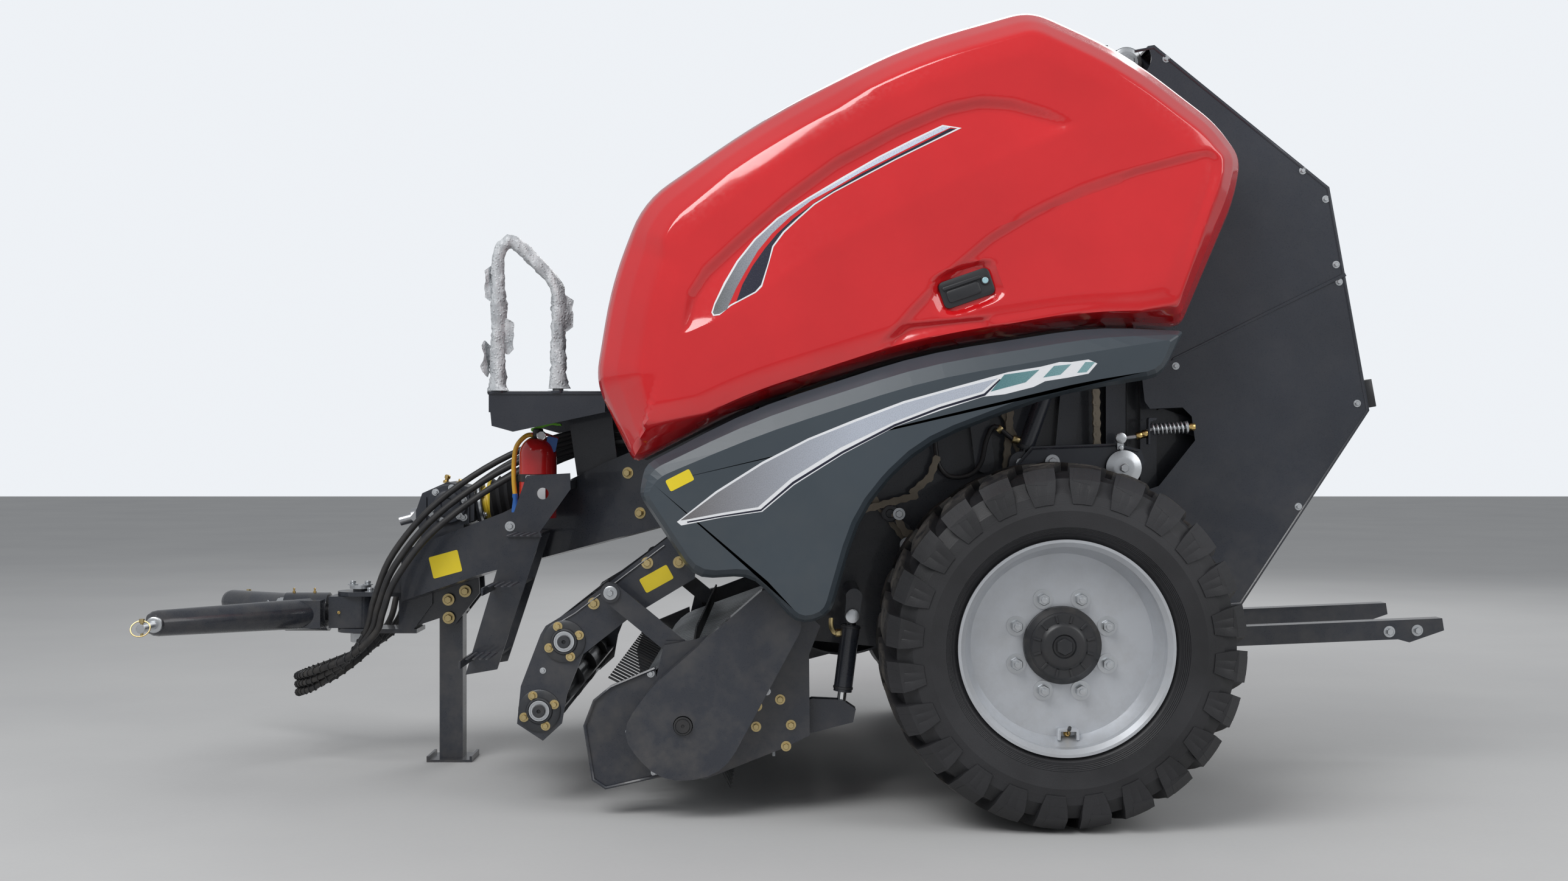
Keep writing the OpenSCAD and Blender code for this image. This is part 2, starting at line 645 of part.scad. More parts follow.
// Swivel block on the upright pin, and the yoke that rolls on its spigot
spigot_d = 60;
module hitch_knuckle() {
    color(paint_dark) {
        difference() {
            union() {
                translate([swivel[0], 0, 447.5]) cylinder(d = 110, h = 106);
                translate([swivel[0] - 95, -55, 447.5]) cube([95, 110, 106]);
            }
            translate([swivel[0], 0, 400]) cylinder(d = swivel_pin_d - 1, h = 200);
        }
        rod([swivel[0] - 94, 0, swivel[1]], [-1740, 0, swivel[1]], spigot_d);
    }
    color(zinc) {
        translate([swivel[0], 0, 425]) cylinder(d = swivel_pin_d, h = 152);
        translate([swivel[0], 0, 577]) cylinder(d = 72, h = 12);
        translate([swivel[0], 0, 396]) cylinder(d = 68, h = 30, $fn = 6);
        rod([-1740, 0, swivel[1]], [-1756, 0, swivel[1]], 96);
    }
}
// Root and tip of a yoke arm, and how far its rounded end runs on past the tip
arm_root = [-1640, -70];
arm_end = 28.5;
arm_tip = [-2077 + yoke_tip_d / 2, -yoke_w / 2];
module yoke_arm() {
    v = arm_tip - arm_root;
    translate([arm_root[0], arm_root[1], swivel[1]]) rotate([0, 90, atan2(v[1], v[0])])
        rotate_extrude() polygon([[0, 0], [yoke_root_d / 2, 0], [yoke_tip_d / 2, norm(v)],
            [yoke_tip_d / 2 - 3, norm(v) + 16], [yoke_tip_d / 2 - 11, norm(v) + arm_end], [0, norm(v) + arm_end]]);
}
module hitch_yoke() {
    color(paint_dark) difference() {
        union() {
            rod([-1590, 0, swivel[1]], [-1735, 0, swivel[1]], 130);
            translate([-1690, -115, swivel[1] - 46]) cube([96, 230, 92]);
            both_sides() yoke_arm();
        }
        rod([-1500, 0, swivel[1]], [-1800, 0, swivel[1]], spigot_d + 2 * running);
    }
    // Bosses of the link pins
    color(paint_dark) both_sides() at_pin_seat() translate([0, 0, -boss_l]) cylinder(d = boss_d, h = boss_l);
}
// Middle of a boss's flat end, where the collar of a link pin seats, and the pin's toe angle
pin_seat = [arm_tip[0] + 5, arm_tip[1] - yoke_tip_d / 2 - 6, swivel[1]];
pin_toe = 1;
boss_d = 50;
boss_l = 60;
collar_t = 8;
module at_pin_seat() {
    translate(pin_seat) rotate([90, 0, pin_toe]) children();
}
module link_pin() {
    color(zinc) at_pin_seat() {
        cylinder(d = boss_d, h = collar_t);
        cylinder(d = link_pin_d, h = collar_t + link_pin_l);
    }
}

// Platform, handrail and ladder
module platform() {
    color(paint_dark) {
        plate(-600, 600) polygon([[-957, 1224], [-957, 1165], [-951, 1165], [-951, 1218], [-606, 1218],
            [-606, 1165], [-600, 1165], [-600, 1224]]);
        both_sides() plate(-594, -600)
            polygon([[-957, 1218], [-948, 1123], [-883, 1105], [-600, 1165], [-600, 1218]]);
        both_sides() plate(-330, -338) polygon([[-743, 1218], [-743, 1165], [-714, 964], [-613, 1012],
            [-587, 1023], [-603, 1158], [-603, 1218]]);
        both_sides() translate([-606, -338, 1165]) cube([487, 60, 50]);
    }
}
rail_y = 575;
rail_d = 34;
rail_path = [[-931, 1224, 0], [-931, 1660, 60], [-895, 1700, 25], [-793, 1611, 60], [-747, 1551, 40],
    [-747, 1224, 0]];
module handrail() {
    color("#8d9398") tube([for (p = soft(rail_path, 5)) [p[0], -rail_y, p[1]]], rail_d, [0, 0, 1], [0, 0, -1]);
}
ladder_y = 560;
ladder_w = 230;
module ladder() {
    color(paint_dark) {
        plate(-ladder_y, -ladder_y - 8) difference() {
            polygon([[-845, 969], [-711, 977], [-709, 928], [-803, 797], [-798, 780], [-902, 780], [-908, 787]]);
            disc([-795, 914], 36);
        }
        for (y = [ladder_y - 8, ladder_y - ladder_w])
            plate(-y, -y - 8) polygon([[-902, 797], [-1035, 353], [-937, 370], [-798, 792]]);
        for (i = [0:1]) let (f = [0.12, 0.62][i])
            translate([-1030 + f * 133, -ladder_y, 362 + f * 435]) cube([92, ladder_w, 8]);
        translate([-890, -ladder_y, 784]) cube([90, ladder_w, 8]);
    }
}
module fire_extinguisher() {
    color("#c01818") translate([-829, -420, 833]) {
        cylinder(d = 118, h = 200);
        translate([0, 0, 200]) sphere(d = 118);
    }
    color("#222222") translate([-829, -420, 1085]) cylinder(d = 30, h = 22);
    // Clamp that seats on the ladder's arm
    color("#222222") translate([-800, -440, 915]) cube([37.7, 40, 46]);
}
// Gearbox with its input shaft, and the shaft that drives the chamber
gear_y = 95;
// Root, direction and diameter of the input shaft
input_root = [-1275, 826];
input_dir = unit([-75, -20]);
input_d = 35;
function input_at(s) = [input_root[0] + input_dir[0] * s, 0, input_root[1] + input_dir[1] * s];
module gearbox() {
    color(paint_dark) {
        plate(gear_y, -gear_y) polygon([[-1276, 850], [-1300, 820], [-1271, 794], [-1258, 746], [-1114, 799],
            [-1084, 812], [-1084, 918], [-1175, 939], [-1258, 902]]);
        rod([-1084, 0, 858.3], [-1062, 0, 862], 150);
    }
    color(zinc) {
        rod([input_root[0] + 5, 0, input_root[1] + 1.333], input_at(32), 58);
        rod([input_root[0], 0, input_root[1]], input_at(77.6), input_d);
    }
}
module drive_shaft() {
    color("#c9b21a") rod([-1061.7, 0, 862.1], [-1036, 0, 866.4], 110);
    // Bellows over the joint, and the shaft on to the machine
    color(rubber_black) translate([-1040, 0, 865.5]) rotate([0, 90 - atan2(153.5, 915), 0])
        rotate_extrude() polygon(concat([[0, 0]], [for (i = [0:bellows]) [i % 2 == 0 ? 73 : 87, i * 14]],
            [[32, bellows * 14], [32, 920], [0, 920]]));
}
bellows = 8;

// Front hood between the doors: a folded sheet with cheeks that seat on the side frames
hood_path = [
    [-125, 1232], [-560, 1232], [-500, 1650], [-380, 1770], [-60, 1985], [300, 2170], [640, 2275], [920, 2262]
];
// A strip of thickness t on the inner side of an open path
function strip(p, t) = concat(p, [
    for (i = [len(p) - 1:-1:0])
        let (
            a = p[max(i - 1, 0)],
            b = p[min(i + 1, len(p) - 1)],
            n1 = i == 0 ? [b[1] - p[i][1], p[i][0] - b[0]] : [p[i][1] - a[1], a[0] - p[i][0]],
            n2 = i == len(p) - 1 ? n1 : [b[1] - p[i][1], p[i][0] - b[0]],
            m = unit(unit(n1) + unit(n2))
        )
        p[i] + m * t / (m * unit(n1))
]);
module front_hood() {
    color(paint_dark) {
        plate(-gate_y, gate_y) polygon(strip(hood_path, sheet_t));
        both_sides() plate(-flange_y, -flange_y - sheet_t) polygon(concat(
            [for (i = [0:len(hood_path) - 1]) strip(hood_path, sheet_t - 1)[2 * len(hood_path) - 1 - i]],
            [[905, 2215], [640, 2205], [245, 2062], [-35, 1775], [-95, 1395], [-95, 1232]]));
        // Ears and pins of the side door's hinges
        both_sides() for (x = door_hinge_x) {
            translate([x, -door_pin[0] - 14, door_pin[1] - 110]) cube([12, door_pin[0] + 14 - gate_y + 30, 124]);
            translate([x, -door_pin[0], door_pin[1]]) rotate([0, 90, 0]) cylinder(d = 14, h = 30);
        }
    }
}

// Feed rotor
module feed_rotor() {
    color("#50565d") {
        bar(rotor, 150, -chamber_y + 6, chamber_y - 6);
        bar(rotor, 50, -chamber_y + side_gap, chamber_y - side_gap);
        for (i = [0:11]) translate([rotor[0], -520 + i * 95, rotor[1]]) rotate([90, i * 15, 0]) linear_extrude(8)
            for (k = [0:3]) rotate(k * 90)
                polygon([[0, -50], [rotor_r - 30, -34], [rotor_r, 6], [rotor_r - 40, 10], [80, 40], [0, 40]]);
    }
}
// Chain drive on the left side: sprockets on the roller shafts and the chains round them
module sprocket(p, r, y, teeth) {
    plate(-y, -y - 10) translate(p) difference() {
        union() {
            circle(r = r - 5);
            for (i = [0:teeth - 1]) rotate(i * 360 / teeth) translate([r - 5, 0]) circle(d = 9, $fn = 6);
        }
        circle(r = 12);
    }
}
// Middle plane of the chain's sprockets
chain_y = wall_y + 52;
module chain_drive() {
    color("#77715f") {
        for (a = [102, 144, 186, 250]) {
            sprocket(polar(chamber, roller_ring, a), 80, chain_y, 20);
            bar(polar(chamber, roller_ring, a), 44, -wall_y, -chain_y);
        }
    }
}
// Inner face of the lock levers, outside the tailgate cylinders
lever_y = cylinder_y + 32;
module lock_levers() {
    color(paint_dark) both_sides() {
        plate(-lever_y, -lever_y - 8)
            polygon([[674, 960], [635, 996], [690, 1060], [940, 1069], [1018, 1051], [1030, 1014], [1000, 960]]);
    }
    color(zinc) both_sides() {
        bar([964, 996], 82, -lever_y - 8, -lever_y - 22);
        bar([752, 1014], 20, -wall_y, -lever_y);
        bar([752, 1014], 34, -lever_y - 8, -lever_y - 16);
    }
}

// Hydraulic hoses, from the front beam down the left of the drawbar, under the swivel and back up the right
hose_d = 22;
// Left half of the upper hose's route as [x, y, z], and how far each next hose lies from it
hose_route = [
    [-119.3, -200, 1130, 0, -30, -28], [-180, -200, 1130, 0, -30, -28], [-400, -205, 1128, 0, -30, -25],
    [-700, -210, 1110, 0, -30, -28], [-950, -205, 1030, 0, -30, -38], [-1180, -215, 880, 0, -30, -45],
    [-1330, -205, 710, 10, -30, -40], [-1395, -195, 560, 20, -30, -20], [-1425, -185, 450, 22, -30, 0],
    [-1500, -165, 345, 12, -28, 12], [-1600, -125, 265, 0, -22, 26], [-1670, -65, 236, 0, -12, 28],
    [-1690, 0, 228, 0, 0, 28]
];
function hose_half(k) = [for (p = hose_route) [p[0] + k * p[3], p[1] + k * p[4], p[2] + k * p[5]]];
function hose_points(k) = let (h = hose_half(k))
    concat(h, [for (i = [len(h) - 2:-1:0]) [h[i][0], -h[i][1], h[i][2]]]);
function smooth_path(p, steps) = [
    for (i = [0:len(p) - 2], k = [0:steps - 1])
        let (a = p[max(i - 1, 0)], b = p[i], c = p[i + 1], d = p[min(i + 2, len(p) - 1)], u = k / steps)
        0.5 * ((2 * b) + (c - a) * u + (2 * a - 5 * b + 4 * c - d) * u * u + (3 * b - a - 3 * c + d) * u * u * u),
    p[len(p) - 1]
];
module hose(k) {
    color(rubber_black) tube(smooth_path(hose_points(k), 2), hose_d, [-1, 0, 0], [1, 0, 0]);
}

// Pickup
pickup_plate = [[-440, 300], [-400, 140], [-278, 105], [-42, 199], [24, 232], [22, 463], [54, 546], [1, 600],
    [-60, 600], [-300, 508], [-395, 490]];
module pickup_frame() {
    color(paint_dark) {
        both_sides() {
            plate(-pickup_y, -pickup_y - 8) difference() {
                polygon(pickup_plate);
                disc(reel, 50.6);
            }
            // Rear lever for the lift cylinder
            for (y = [882, 922]) plate(-y, -y - 10)
                polygon([[-30, 215], [150, 262], [158, 300], [120, 326], [30, 330], [-30, 300]]);
            // Arm up to the pivot
            plate(-wall_y - 20, -wall_y - 40) difference() {
                union() { link_shape([-30, 240], lift_pivot, 70); disc(lift_pivot, 84); }
                disc(lift_pivot, 40 + 2 * 0.3);
            }
            // Curved shield beside the reel
            plate(-pickup_y, -pickup_y - 8) polygon([[-625, 260], [-597, 334], [-547, 375], [-419, 429],
                [-390, 116], [-561, 78], [-600, 104]]);
        }
        bar([-30, 240], 60, -pickup_y, pickup_y);
        // Slotted brackets that the press links ride in
        both_sides() {
            plate(-slot_y, -slot_y - 8) difference() {
                polygon([[-392, 500], [-324, 500], [-330, 420], [-392, 420]]);
                link_shape(link_slot_pin, link_slot_pin - [0, 48], 24);
            }
            bar([-376, 438], 16, -slot_y, -pickup_y);
            bar([-338, 438], 16, -slot_y, -pickup_y);
        }
    }
}
module pickup_cover() {
    color(paint_dark) plate(-pickup_y - 8, -pickup_y - 100) difference() {
        polygon(soft([[-424, 382, 40], [-520, 250, 90], [-400, 110, 90], [-224, 130, 80], [0, 545, 20],
            [-10, 640, 20], [-105, 661, 20]]));
        disc(reel, 56);
    }
}
band_y = 868;
band_pitch = 2 * band_y / (band_gaps + 1);
band_r = 165;
band_t = 4;
// Rails that hold the stripper bands; the lower one lies just outside the tines' tips
upper_rail = [-80, 540];
lower_rail = polar(reel, tine_r + 11, -17.6);
function tangent_angle(p, side) = angle_of(p - reel) + side * acos(band_r / norm(p - reel));
// One edge of a band: from the upper rail round the reel at radius r and back to the lower rail
band_steps = 16;
function band_edge(r, upper, lower) = concat(
    [upper_rail - [0, band_r - r]],
    [for (k = [0:band_steps]) polar(reel, r, upper + (lower + 360 - upper) * k / band_steps)],
    [lower_rail + [0, band_r - r]]);
module stripper_band() {
    upper = tangent_angle(upper_rail, 1);
    lower = tangent_angle(lower_rail, -1);
    inner = band_edge(band_r - band_t, upper, lower);
    polygon(concat(band_edge(band_r, upper, lower), [for (i = [len(inner) - 1:-1:0]) inner[i]]));
}
module pickup_strippers() {
    color("#6a7077") {
        for (i = [0:band_gaps]) let (y = -band_y + i * band_pitch)
            plate(y + 7, y + band_pitch - 7) stripper_band();
        plate(-pickup_y, pickup_y) {
            translate(upper_rail + [-22, -5]) square([26, 8]);
            translate(lower_rail + [-4, -21]) square([8, 24]);
        }
    }
}
module pickup_reel() {
    color("#44494f") {
        bar(reel, 90, -pickup_y + 10, pickup_y - 10);
        bar(reel, 50, -pickup_y - 60, pickup_y + 7);
        for (r = [0:tine_rows - 1]) let (a = r * 360 / tine_rows + 18) {
            bar(polar(reel, 110, a), 30, -band_y - 40, band_y + 40);
            for (i = [1:band_gaps]) let (y = -band_y + i * band_pitch)
                rod([reel[0] + 90 * cos(a), y, reel[1] + 90 * sin(a)],
                    [reel[0] + tine_r * cos(a - 6), y, reel[1] + tine_r * sin(a - 6)], tine_d, $fn = 6);
        }
        for (y = [-900, -300, 292, 892]) for (r = [0:tine_rows - 1])
            plate(y, y + 8) link_shape(reel, polar(reel, 110, r * 360 / tine_rows + 18), 50);
    }
}
// Lift cylinders of the pickup
lift_dir = unit(lift_eye - lift_top);
lift_len = norm(lift_eye - lift_top);
module lift_barrels() {
    color(paint_dark) both_sides() {
        plate(-892.5, -921.5) difference() {
            disc(lift_top, 44);
            disc(lift_top, 20 + 2 * running);
        }
        rod(along(lift_top, lift_dir, 14, 907), along(lift_top, lift_dir, 34, 907), 28);
        difference() {
            rod(along(lift_top, lift_dir, 28, 907), along(lift_top, lift_dir, lift_len - 50, 907), 54);
            rod(along(lift_top, lift_dir, 40, 907), along(lift_top, lift_dir, lift_len, 907), lift_rod_d + 2 * running);
        }
    }
}
module lift_rods() {
    color(zinc) both_sides() {
        rod(along(lift_top, lift_dir, 120, 907), along(lift_top, lift_dir, lift_len - 16, 907), lift_rod_d);
        plate(-892.5, -921.5) difference() {
            disc(lift_eye, 40);
            disc(lift_eye, 20);
        }
    }
}
// Crop press: arms, two finned rollers and the slotted link to the pickup
press_shape = [[-312, 673], [-300, 800], [-345, 822], [-399, 787], [-552, 669], [-673, 580], [-749, 534], [-764, 509],
    [-822, 357], [-833, 247], [-757, 197], [-702, 247], [-687, 332], [-640, 450], [-501, 559]];
module press_arms() {
    color(paint_dark) both_sides() plate(-press_arm_y + press_arm_t, -press_arm_y) difference() {
        union() {
            polygon(press_shape);
            disc(press_pivot, 110);
            disc(press_upper, 122);
            disc(press_lower, 122);
        }
        disc(press_pivot, 36.6);
        disc(press_upper, 30.6);
        disc(press_lower, 30.6);
        disc(link_arm_pin, 20.4);
    }
}
module press_roller(p) {
    color(paint_dark) translate([p[0], press_arm_y - press_arm_t - 3, p[1]]) rotate([90, 0, 0]) {
        linear_extrude(2 * (press_arm_y - press_arm_t - 3)) {
            circle(d = press_d - 44);
            for (i = [0:5]) rotate(i * 60) translate([press_d / 2 - 28, -3]) square([28, 6]);
        }
        translate([0, 0, -24]) cylinder(d = 30, h = 2 * (press_arm_y - press_arm_t) + 42);
    }
}
module press_links() {
    color(zinc) both_sides() {
        plate(-link_y, -link_y - 10) link_shape(link_arm_pin, link_slot_pin, 60);
        bar(link_arm_pin, 20, -press_arm_y + press_arm_t, -link_y);
        bar(link_arm_pin, 44, -press_arm_y - side_gap, -link_y);
        bar(link_slot_pin, 18, -link_y, -slot_y - 12);
        plate(-link_y - 10, -link_y - 17) disc(link_arm_pin, 56);
    }
}
// Ramp that rolls the bale away from the tailgate, and the arms of the axle that it tilts on
ramp_pin_d = 40;
rail_t = 60;
module ramp_arms() {
    for (s = [-1, 1]) translate([0, s * (ramp_w / 2 - rail_t / 2 - 30), 0]) {
        plate(20, -20) {
            polygon([[axle_x + axle_beam / 2 - 2, axle_z - 40], [axle_x + axle_beam / 2 - 2, axle_z + 10],
                [ramp_pivot[0], ramp_pivot[1] + 32], [ramp_pivot[0], ramp_pivot[1] - 32]]);
            disc(ramp_pivot, 64);
        }
    }
    bar(ramp_pivot, ramp_pin_d, -ramp_w / 2 - rail_t / 2 - 10, ramp_w / 2 + rail_t / 2 + 10);
}
module bale_ramp() {
    color(paint_dark) {
        for (s = [-1, 1]) translate([0, s * ramp_w / 2, 0]) difference() {
            plate(rail_t / 2, -rail_t / 2) {
                polygon([[ramp_pivot[0], 472], [ramp_pivot[0], 410], [1928, 437], [1965, 427], [2077, 466],
                    [2071, 505]]);
                disc(ramp_pivot, 72);
            }
            bar(ramp_pivot, ramp_pin_d + 0.6, -rail_t, rail_t);
        }
        plate(ramp_w / 2, -ramp_w / 2) translate([1420, 424]) square([60, 44]);
    }
}

drawbar();
side_frame();  // side_frame_left
right_side() side_frame();  // side_frame_right
gate_feet();
fairing_posts();
union() { cross_beams(); color(paint_dark) hinge_tube(); }
axle();
chamber_rollers();
front_hood();
platform();
handrail();
ladder();
fire_extinguisher();
gearbox();
drive_shaft();
side_fairing();  // fairing_left
right_side() side_fairing();  // fairing_right
chain_drive();
lock_levers();
hose(0);  // hose_upper
hose(1);  // hose_middle
hose(2);  // hose_lower
color(rubber_black) tyre();  // tyre_left
rim();  // rim_left
color(rubber_black) right_side() tyre();  // tyre_right
right_side() rim();  // rim_right
feed_rotor();
tailgate_frame();
tailgate_shell();
tailgate_rollers();
tail_lamps();
gate_barrels();
gate_rods();
side_door();  // door_left
right_side() side_door();  // door_right
parking_stand();
hitch_knuckle();
hitch_yoke();
link_pin();  // link_pin_left
right_side() link_pin();  // link_pin_right
pickup_frame();
pickup_strippers();
pickup_cover();
pickup_reel();
lift_barrels();
lift_rods();
press_arms();
press_links();
press_roller(press_upper);  // press_roller_upper
press_roller(press_lower);  // press_roller_lower
bale_ramp();
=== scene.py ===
"""Round baler: finishes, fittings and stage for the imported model.

Every size is in the model's own frame: X runs from the hitch to the tailgate, Y across, Z up.
Tables hold millimetres, as the drawings do, and the helpers turn them into metres.
"""

import math

import bpy
import numpy as np
from mathutils import Matrix, Vector, noise


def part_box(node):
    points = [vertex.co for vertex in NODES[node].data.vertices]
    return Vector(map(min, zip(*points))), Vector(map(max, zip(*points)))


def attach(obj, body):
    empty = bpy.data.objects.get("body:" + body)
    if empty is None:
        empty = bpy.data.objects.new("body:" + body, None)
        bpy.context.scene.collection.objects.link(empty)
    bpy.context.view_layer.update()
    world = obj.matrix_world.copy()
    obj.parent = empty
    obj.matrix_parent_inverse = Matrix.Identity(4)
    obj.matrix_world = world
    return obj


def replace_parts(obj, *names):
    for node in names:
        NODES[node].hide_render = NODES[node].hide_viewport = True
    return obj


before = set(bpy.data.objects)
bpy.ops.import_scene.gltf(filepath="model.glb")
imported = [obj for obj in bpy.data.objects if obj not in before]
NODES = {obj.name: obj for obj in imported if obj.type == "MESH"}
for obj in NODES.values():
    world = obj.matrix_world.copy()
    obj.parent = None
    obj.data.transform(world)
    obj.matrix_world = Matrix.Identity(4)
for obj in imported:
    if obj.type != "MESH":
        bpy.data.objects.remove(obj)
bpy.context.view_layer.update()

bl_info = {
    "name": "Round Baler",
    "version": (1, 0, 0),
    "blender": (4, 5, 0),
    "location": "View3D > Sidebar > Round Baler",
    "description": "Dresses the round baler with its finishes, fittings, hoses and stage",
    "category": "Object",
}

MM = 0.001
# Directions: to the left of the machine, and upwards
OUT = (0, -1, 0)
UP = (0, 0, 1)
# Half widths at the flat faces of the side doors and the lower fairings
DOOR_FACE = 1130
FAIRING_FACE = 1180
SIDES = ((-1, "left"), (1, "right"))
# Edges sharper than this are rounded
SHARP = math.radians(30)
COIL_STEPS = 14
FRAME_BOLT = 0.019


# Sizes and colours that a user may change

def tint(name, description, default):
    """A colour of the panel."""
    return bpy.props.FloatVectorProperty(name=name, description=description, default=default,
                                         subtype="COLOR", size=3, min=0, max=1)


class BalerColours(bpy.types.PropertyGroup):
    """Colours of the baler's finishes."""

    paint: tint("Frame paint", "Dark paint of the frame, drawbar and tailgate", (0.024, 0.028, 0.038))
    door: tint("Door paint", "Gloss paint of the side doors", (0.62, 0.008, 0.012))
    fairing: tint("Fairing", "Moulded plastic of the lower fairings", (0.046, 0.060, 0.073))
    rim: tint("Rim paint", "Silver paint of the wheel discs", (0.56, 0.58, 0.61))
    rubber: tint("Rubber", "Rubber of the tyres", (0.016, 0.016, 0.018))
    label: tint("Blank labels", "Yellow of the blank labels", (0.80, 0.62, 0.02))


class BalerSizes(bpy.types.PropertyGroup):
    """Sizes of the baler's fittings."""

    hose: bpy.props.FloatProperty(
        name="Hose diameter", description="Outside diameter of a hydraulic hose",
        default=0.022, min=0.018, max=0.022, unit="LENGTH")
    nut: bpy.props.FloatProperty(
        name="Wheel nut", description="Width of a wheel nut across its flats",
        default=0.030, min=0.024, max=0.036, unit="LENGTH")
    bolt: bpy.props.FloatProperty(
        name="Frame bolt", description="Width of a frame bolt across its flats",
        default=FRAME_BOLT, min=0.013, max=0.024, unit="LENGTH")
    stripe: bpy.props.FloatProperty(
        name="Stripe thickness", description="Thickness of one layer of the door and fairing stripes",
        default=0.0003, min=0.0002, max=0.001, unit="LENGTH")


def colours():
    return bpy.context.scene.baler_colours


def sizes():
    return bpy.context.scene.baler_sizes


# Modelling helpers

def point(x, y, z):
    """A point of the drawings, in metres."""
    return Vector((x * MM, y * MM, z * MM))


def clear_selection():
    active = bpy.context.view_layer.objects.active
    if active is not None and active.mode != "OBJECT":
        bpy.ops.object.mode_set(mode="OBJECT")
    bpy.ops.object.select_all(action="DESELECT")


def choose(piece):
    clear_selection()
    piece.select_set(True)
    bpy.context.view_layer.objects.active = piece


def apply_place(piece):
    choose(piece)
    bpy.ops.object.transform_apply(location=True, rotation=True, scale=True)
    return piece


def apply_modifier(piece, kind, name, **settings):
    modifier = piece.modifiers.new(name, kind)
    for key, value in settings.items():
        setattr(modifier, key, value)
    choose(piece)
    bpy.ops.object.modifier_apply(modifier=modifier.name)
    return piece


def named(piece, name):
    piece.name = piece.data.name = name
    return piece


def duplicate(piece):
    """A copy of a piece with its own mesh."""
    copy = piece.copy()
    copy.data = piece.data.copy()
    bpy.context.scene.collection.objects.link(copy)
    return copy


def round_edges(piece, width, segments=2):
    """Rounds a piece's sharp edges, with width in millimetres."""
    if width:
        apply_modifier(piece, "BEVEL", "Rounding", width=width * MM, segments=segments,
                       limit_method="ANGLE", angle_limit=SHARP, use_clamp_overlap=True)
    return piece


def outwards(piece):
    """Turns every face of a closed piece outwards."""
    choose(piece)
    bpy.ops.object.mode_set(mode="EDIT")
    bpy.ops.mesh.select_all(action="SELECT")
    bpy.ops.mesh.normals_make_consistent(inside=False)
    bpy.ops.object.mode_set(mode="OBJECT")
    return piece


def face_left(piece):
    """Turns an open sheet so that it faces the left side of the machine."""
    if sum(poly.normal.y for poly in piece.data.polygons) > 0:
        piece.data.flip_normals()


def block(low, high, rounding=2, segments=2):
    """A box between two corners in millimetres, with rounded edges."""
    clear_selection()
    middle = [(a + b) / 2 * MM for a, b in zip(low, high)]
    bpy.ops.mesh.primitive_cube_add(size=1, location=middle)
    piece = bpy.context.object
    piece.scale = [abs(b - a) * MM for a, b in zip(low, high)]
    apply_place(piece)
    return round_edges(piece, rounding, segments)


def rod(start, end, diameter, sides=24, rounding=1.0):
    """A round rod from one point to another, in millimetres."""
    a, b = point(*start), point(*end)
    clear_selection()
    radius = diameter / 2 * MM
    bpy.ops.mesh.primitive_cone_add(vertices=sides, radius1=radius, radius2=radius, depth=(b - a).length,
                                    location=(a + b) / 2)
    piece = bpy.context.object
    piece.rotation_mode = "QUATERNION"
    piece.rotation_quaternion = (b - a).to_track_quat("Z", "Y")
    apply_place(piece)
    return round_edges(piece, rounding)


def outline_face(outline, y):
    """A flat face whose side view is an outline of (x, z) points."""
    clear_selection()
    bpy.ops.mesh.primitive_circle_add(vertices=len(outline), radius=1, fill_type="NGON")
    piece = bpy.context.object
    for vertex, (x, z) in zip(piece.data.vertices, outline):
        vertex.co = point(x, y, z)
    bpy.ops.object.mode_set(mode="EDIT")
    bpy.ops.mesh.select_all(action="SELECT")
    return piece


def plate(outline, y_from, y_to, rounding=0.0, segments=1):
    """A plate whose side view is an outline of (x, z) points, between two depths along Y."""
    piece = outline_face(outline, y_from)
    bpy.ops.mesh.extrude_region_move(TRANSFORM_OT_translate={"value": (0, (y_to - y_from) * MM, 0)})
    bpy.ops.mesh.select_all(action="SELECT")
    bpy.ops.mesh.normals_make_consistent(inside=False)
    bpy.ops.object.mode_set(mode="OBJECT")
    return round_edges(piece, rounding, segments)


def turned(profile, start, end, sides=32):
    """A turned piece: rings of (distance along, radius) in millimetres, from start towards end."""
    a, b = point(*start), point(*end)
    clear_selection()
    bpy.ops.mesh.primitive_circle_add(vertices=sides, radius=profile[0][1] * MM, fill_type="NGON",
                                      location=(0, 0, profile[0][0] * MM))
    piece = bpy.context.object
    apply_place(piece)
    bpy.ops.object.mode_set(mode="EDIT")
    bpy.ops.mesh.select_all(action="SELECT")
    at, radius = profile[0]
    for along, next_radius in profile[1:]:
        bpy.ops.mesh.extrude_region_move(TRANSFORM_OT_translate={"value": (0, 0, (along - at) * MM)})
        share = next_radius / radius
        bpy.ops.transform.resize(value=(share, share, 1), center_override=(0, 0, along * MM))
        at, radius = along, next_radius
    bpy.ops.mesh.select_all(action="SELECT")
    bpy.ops.mesh.normals_make_consistent(inside=False)
    bpy.ops.object.mode_set(mode="OBJECT")
    piece.rotation_mode = "QUATERNION"
    piece.rotation_quaternion = (b - a).to_track_quat("Z", "Y")
    piece.location = a
    return apply_place(piece)


def boss(profile, x, y, z, sides):
    """A turned piece that grows to the left from its seat, which lies y left of the middle plane."""
    return turned(profile, (x, -y, z), (x, -y - 10, z), sides)


def swept(points, diameter, sides=8, closed=False):
    """A round wire or tube along points in millimetres, as one mesh."""
    curve = bpy.data.curves.new("Wire", "CURVE")
    curve.dimensions = "3D"
    curve.bevel_depth = diameter / 2 * MM
    curve.bevel_resolution = max(0, sides // 4 - 1)
    curve.use_fill_caps = not closed
    spline = curve.splines.new("POLY")
    spline.points.add(len(points) - 1)
    for knot, p in zip(spline.points, points):
        knot.co = (*point(*p), 1)
    spline.use_cyclic_u = closed
    piece = bpy.data.objects.new("Wire", curve)
    bpy.context.scene.collection.objects.link(piece)
    choose(piece)
    bpy.ops.object.convert(target="MESH")
    return outwards(bpy.context.object)


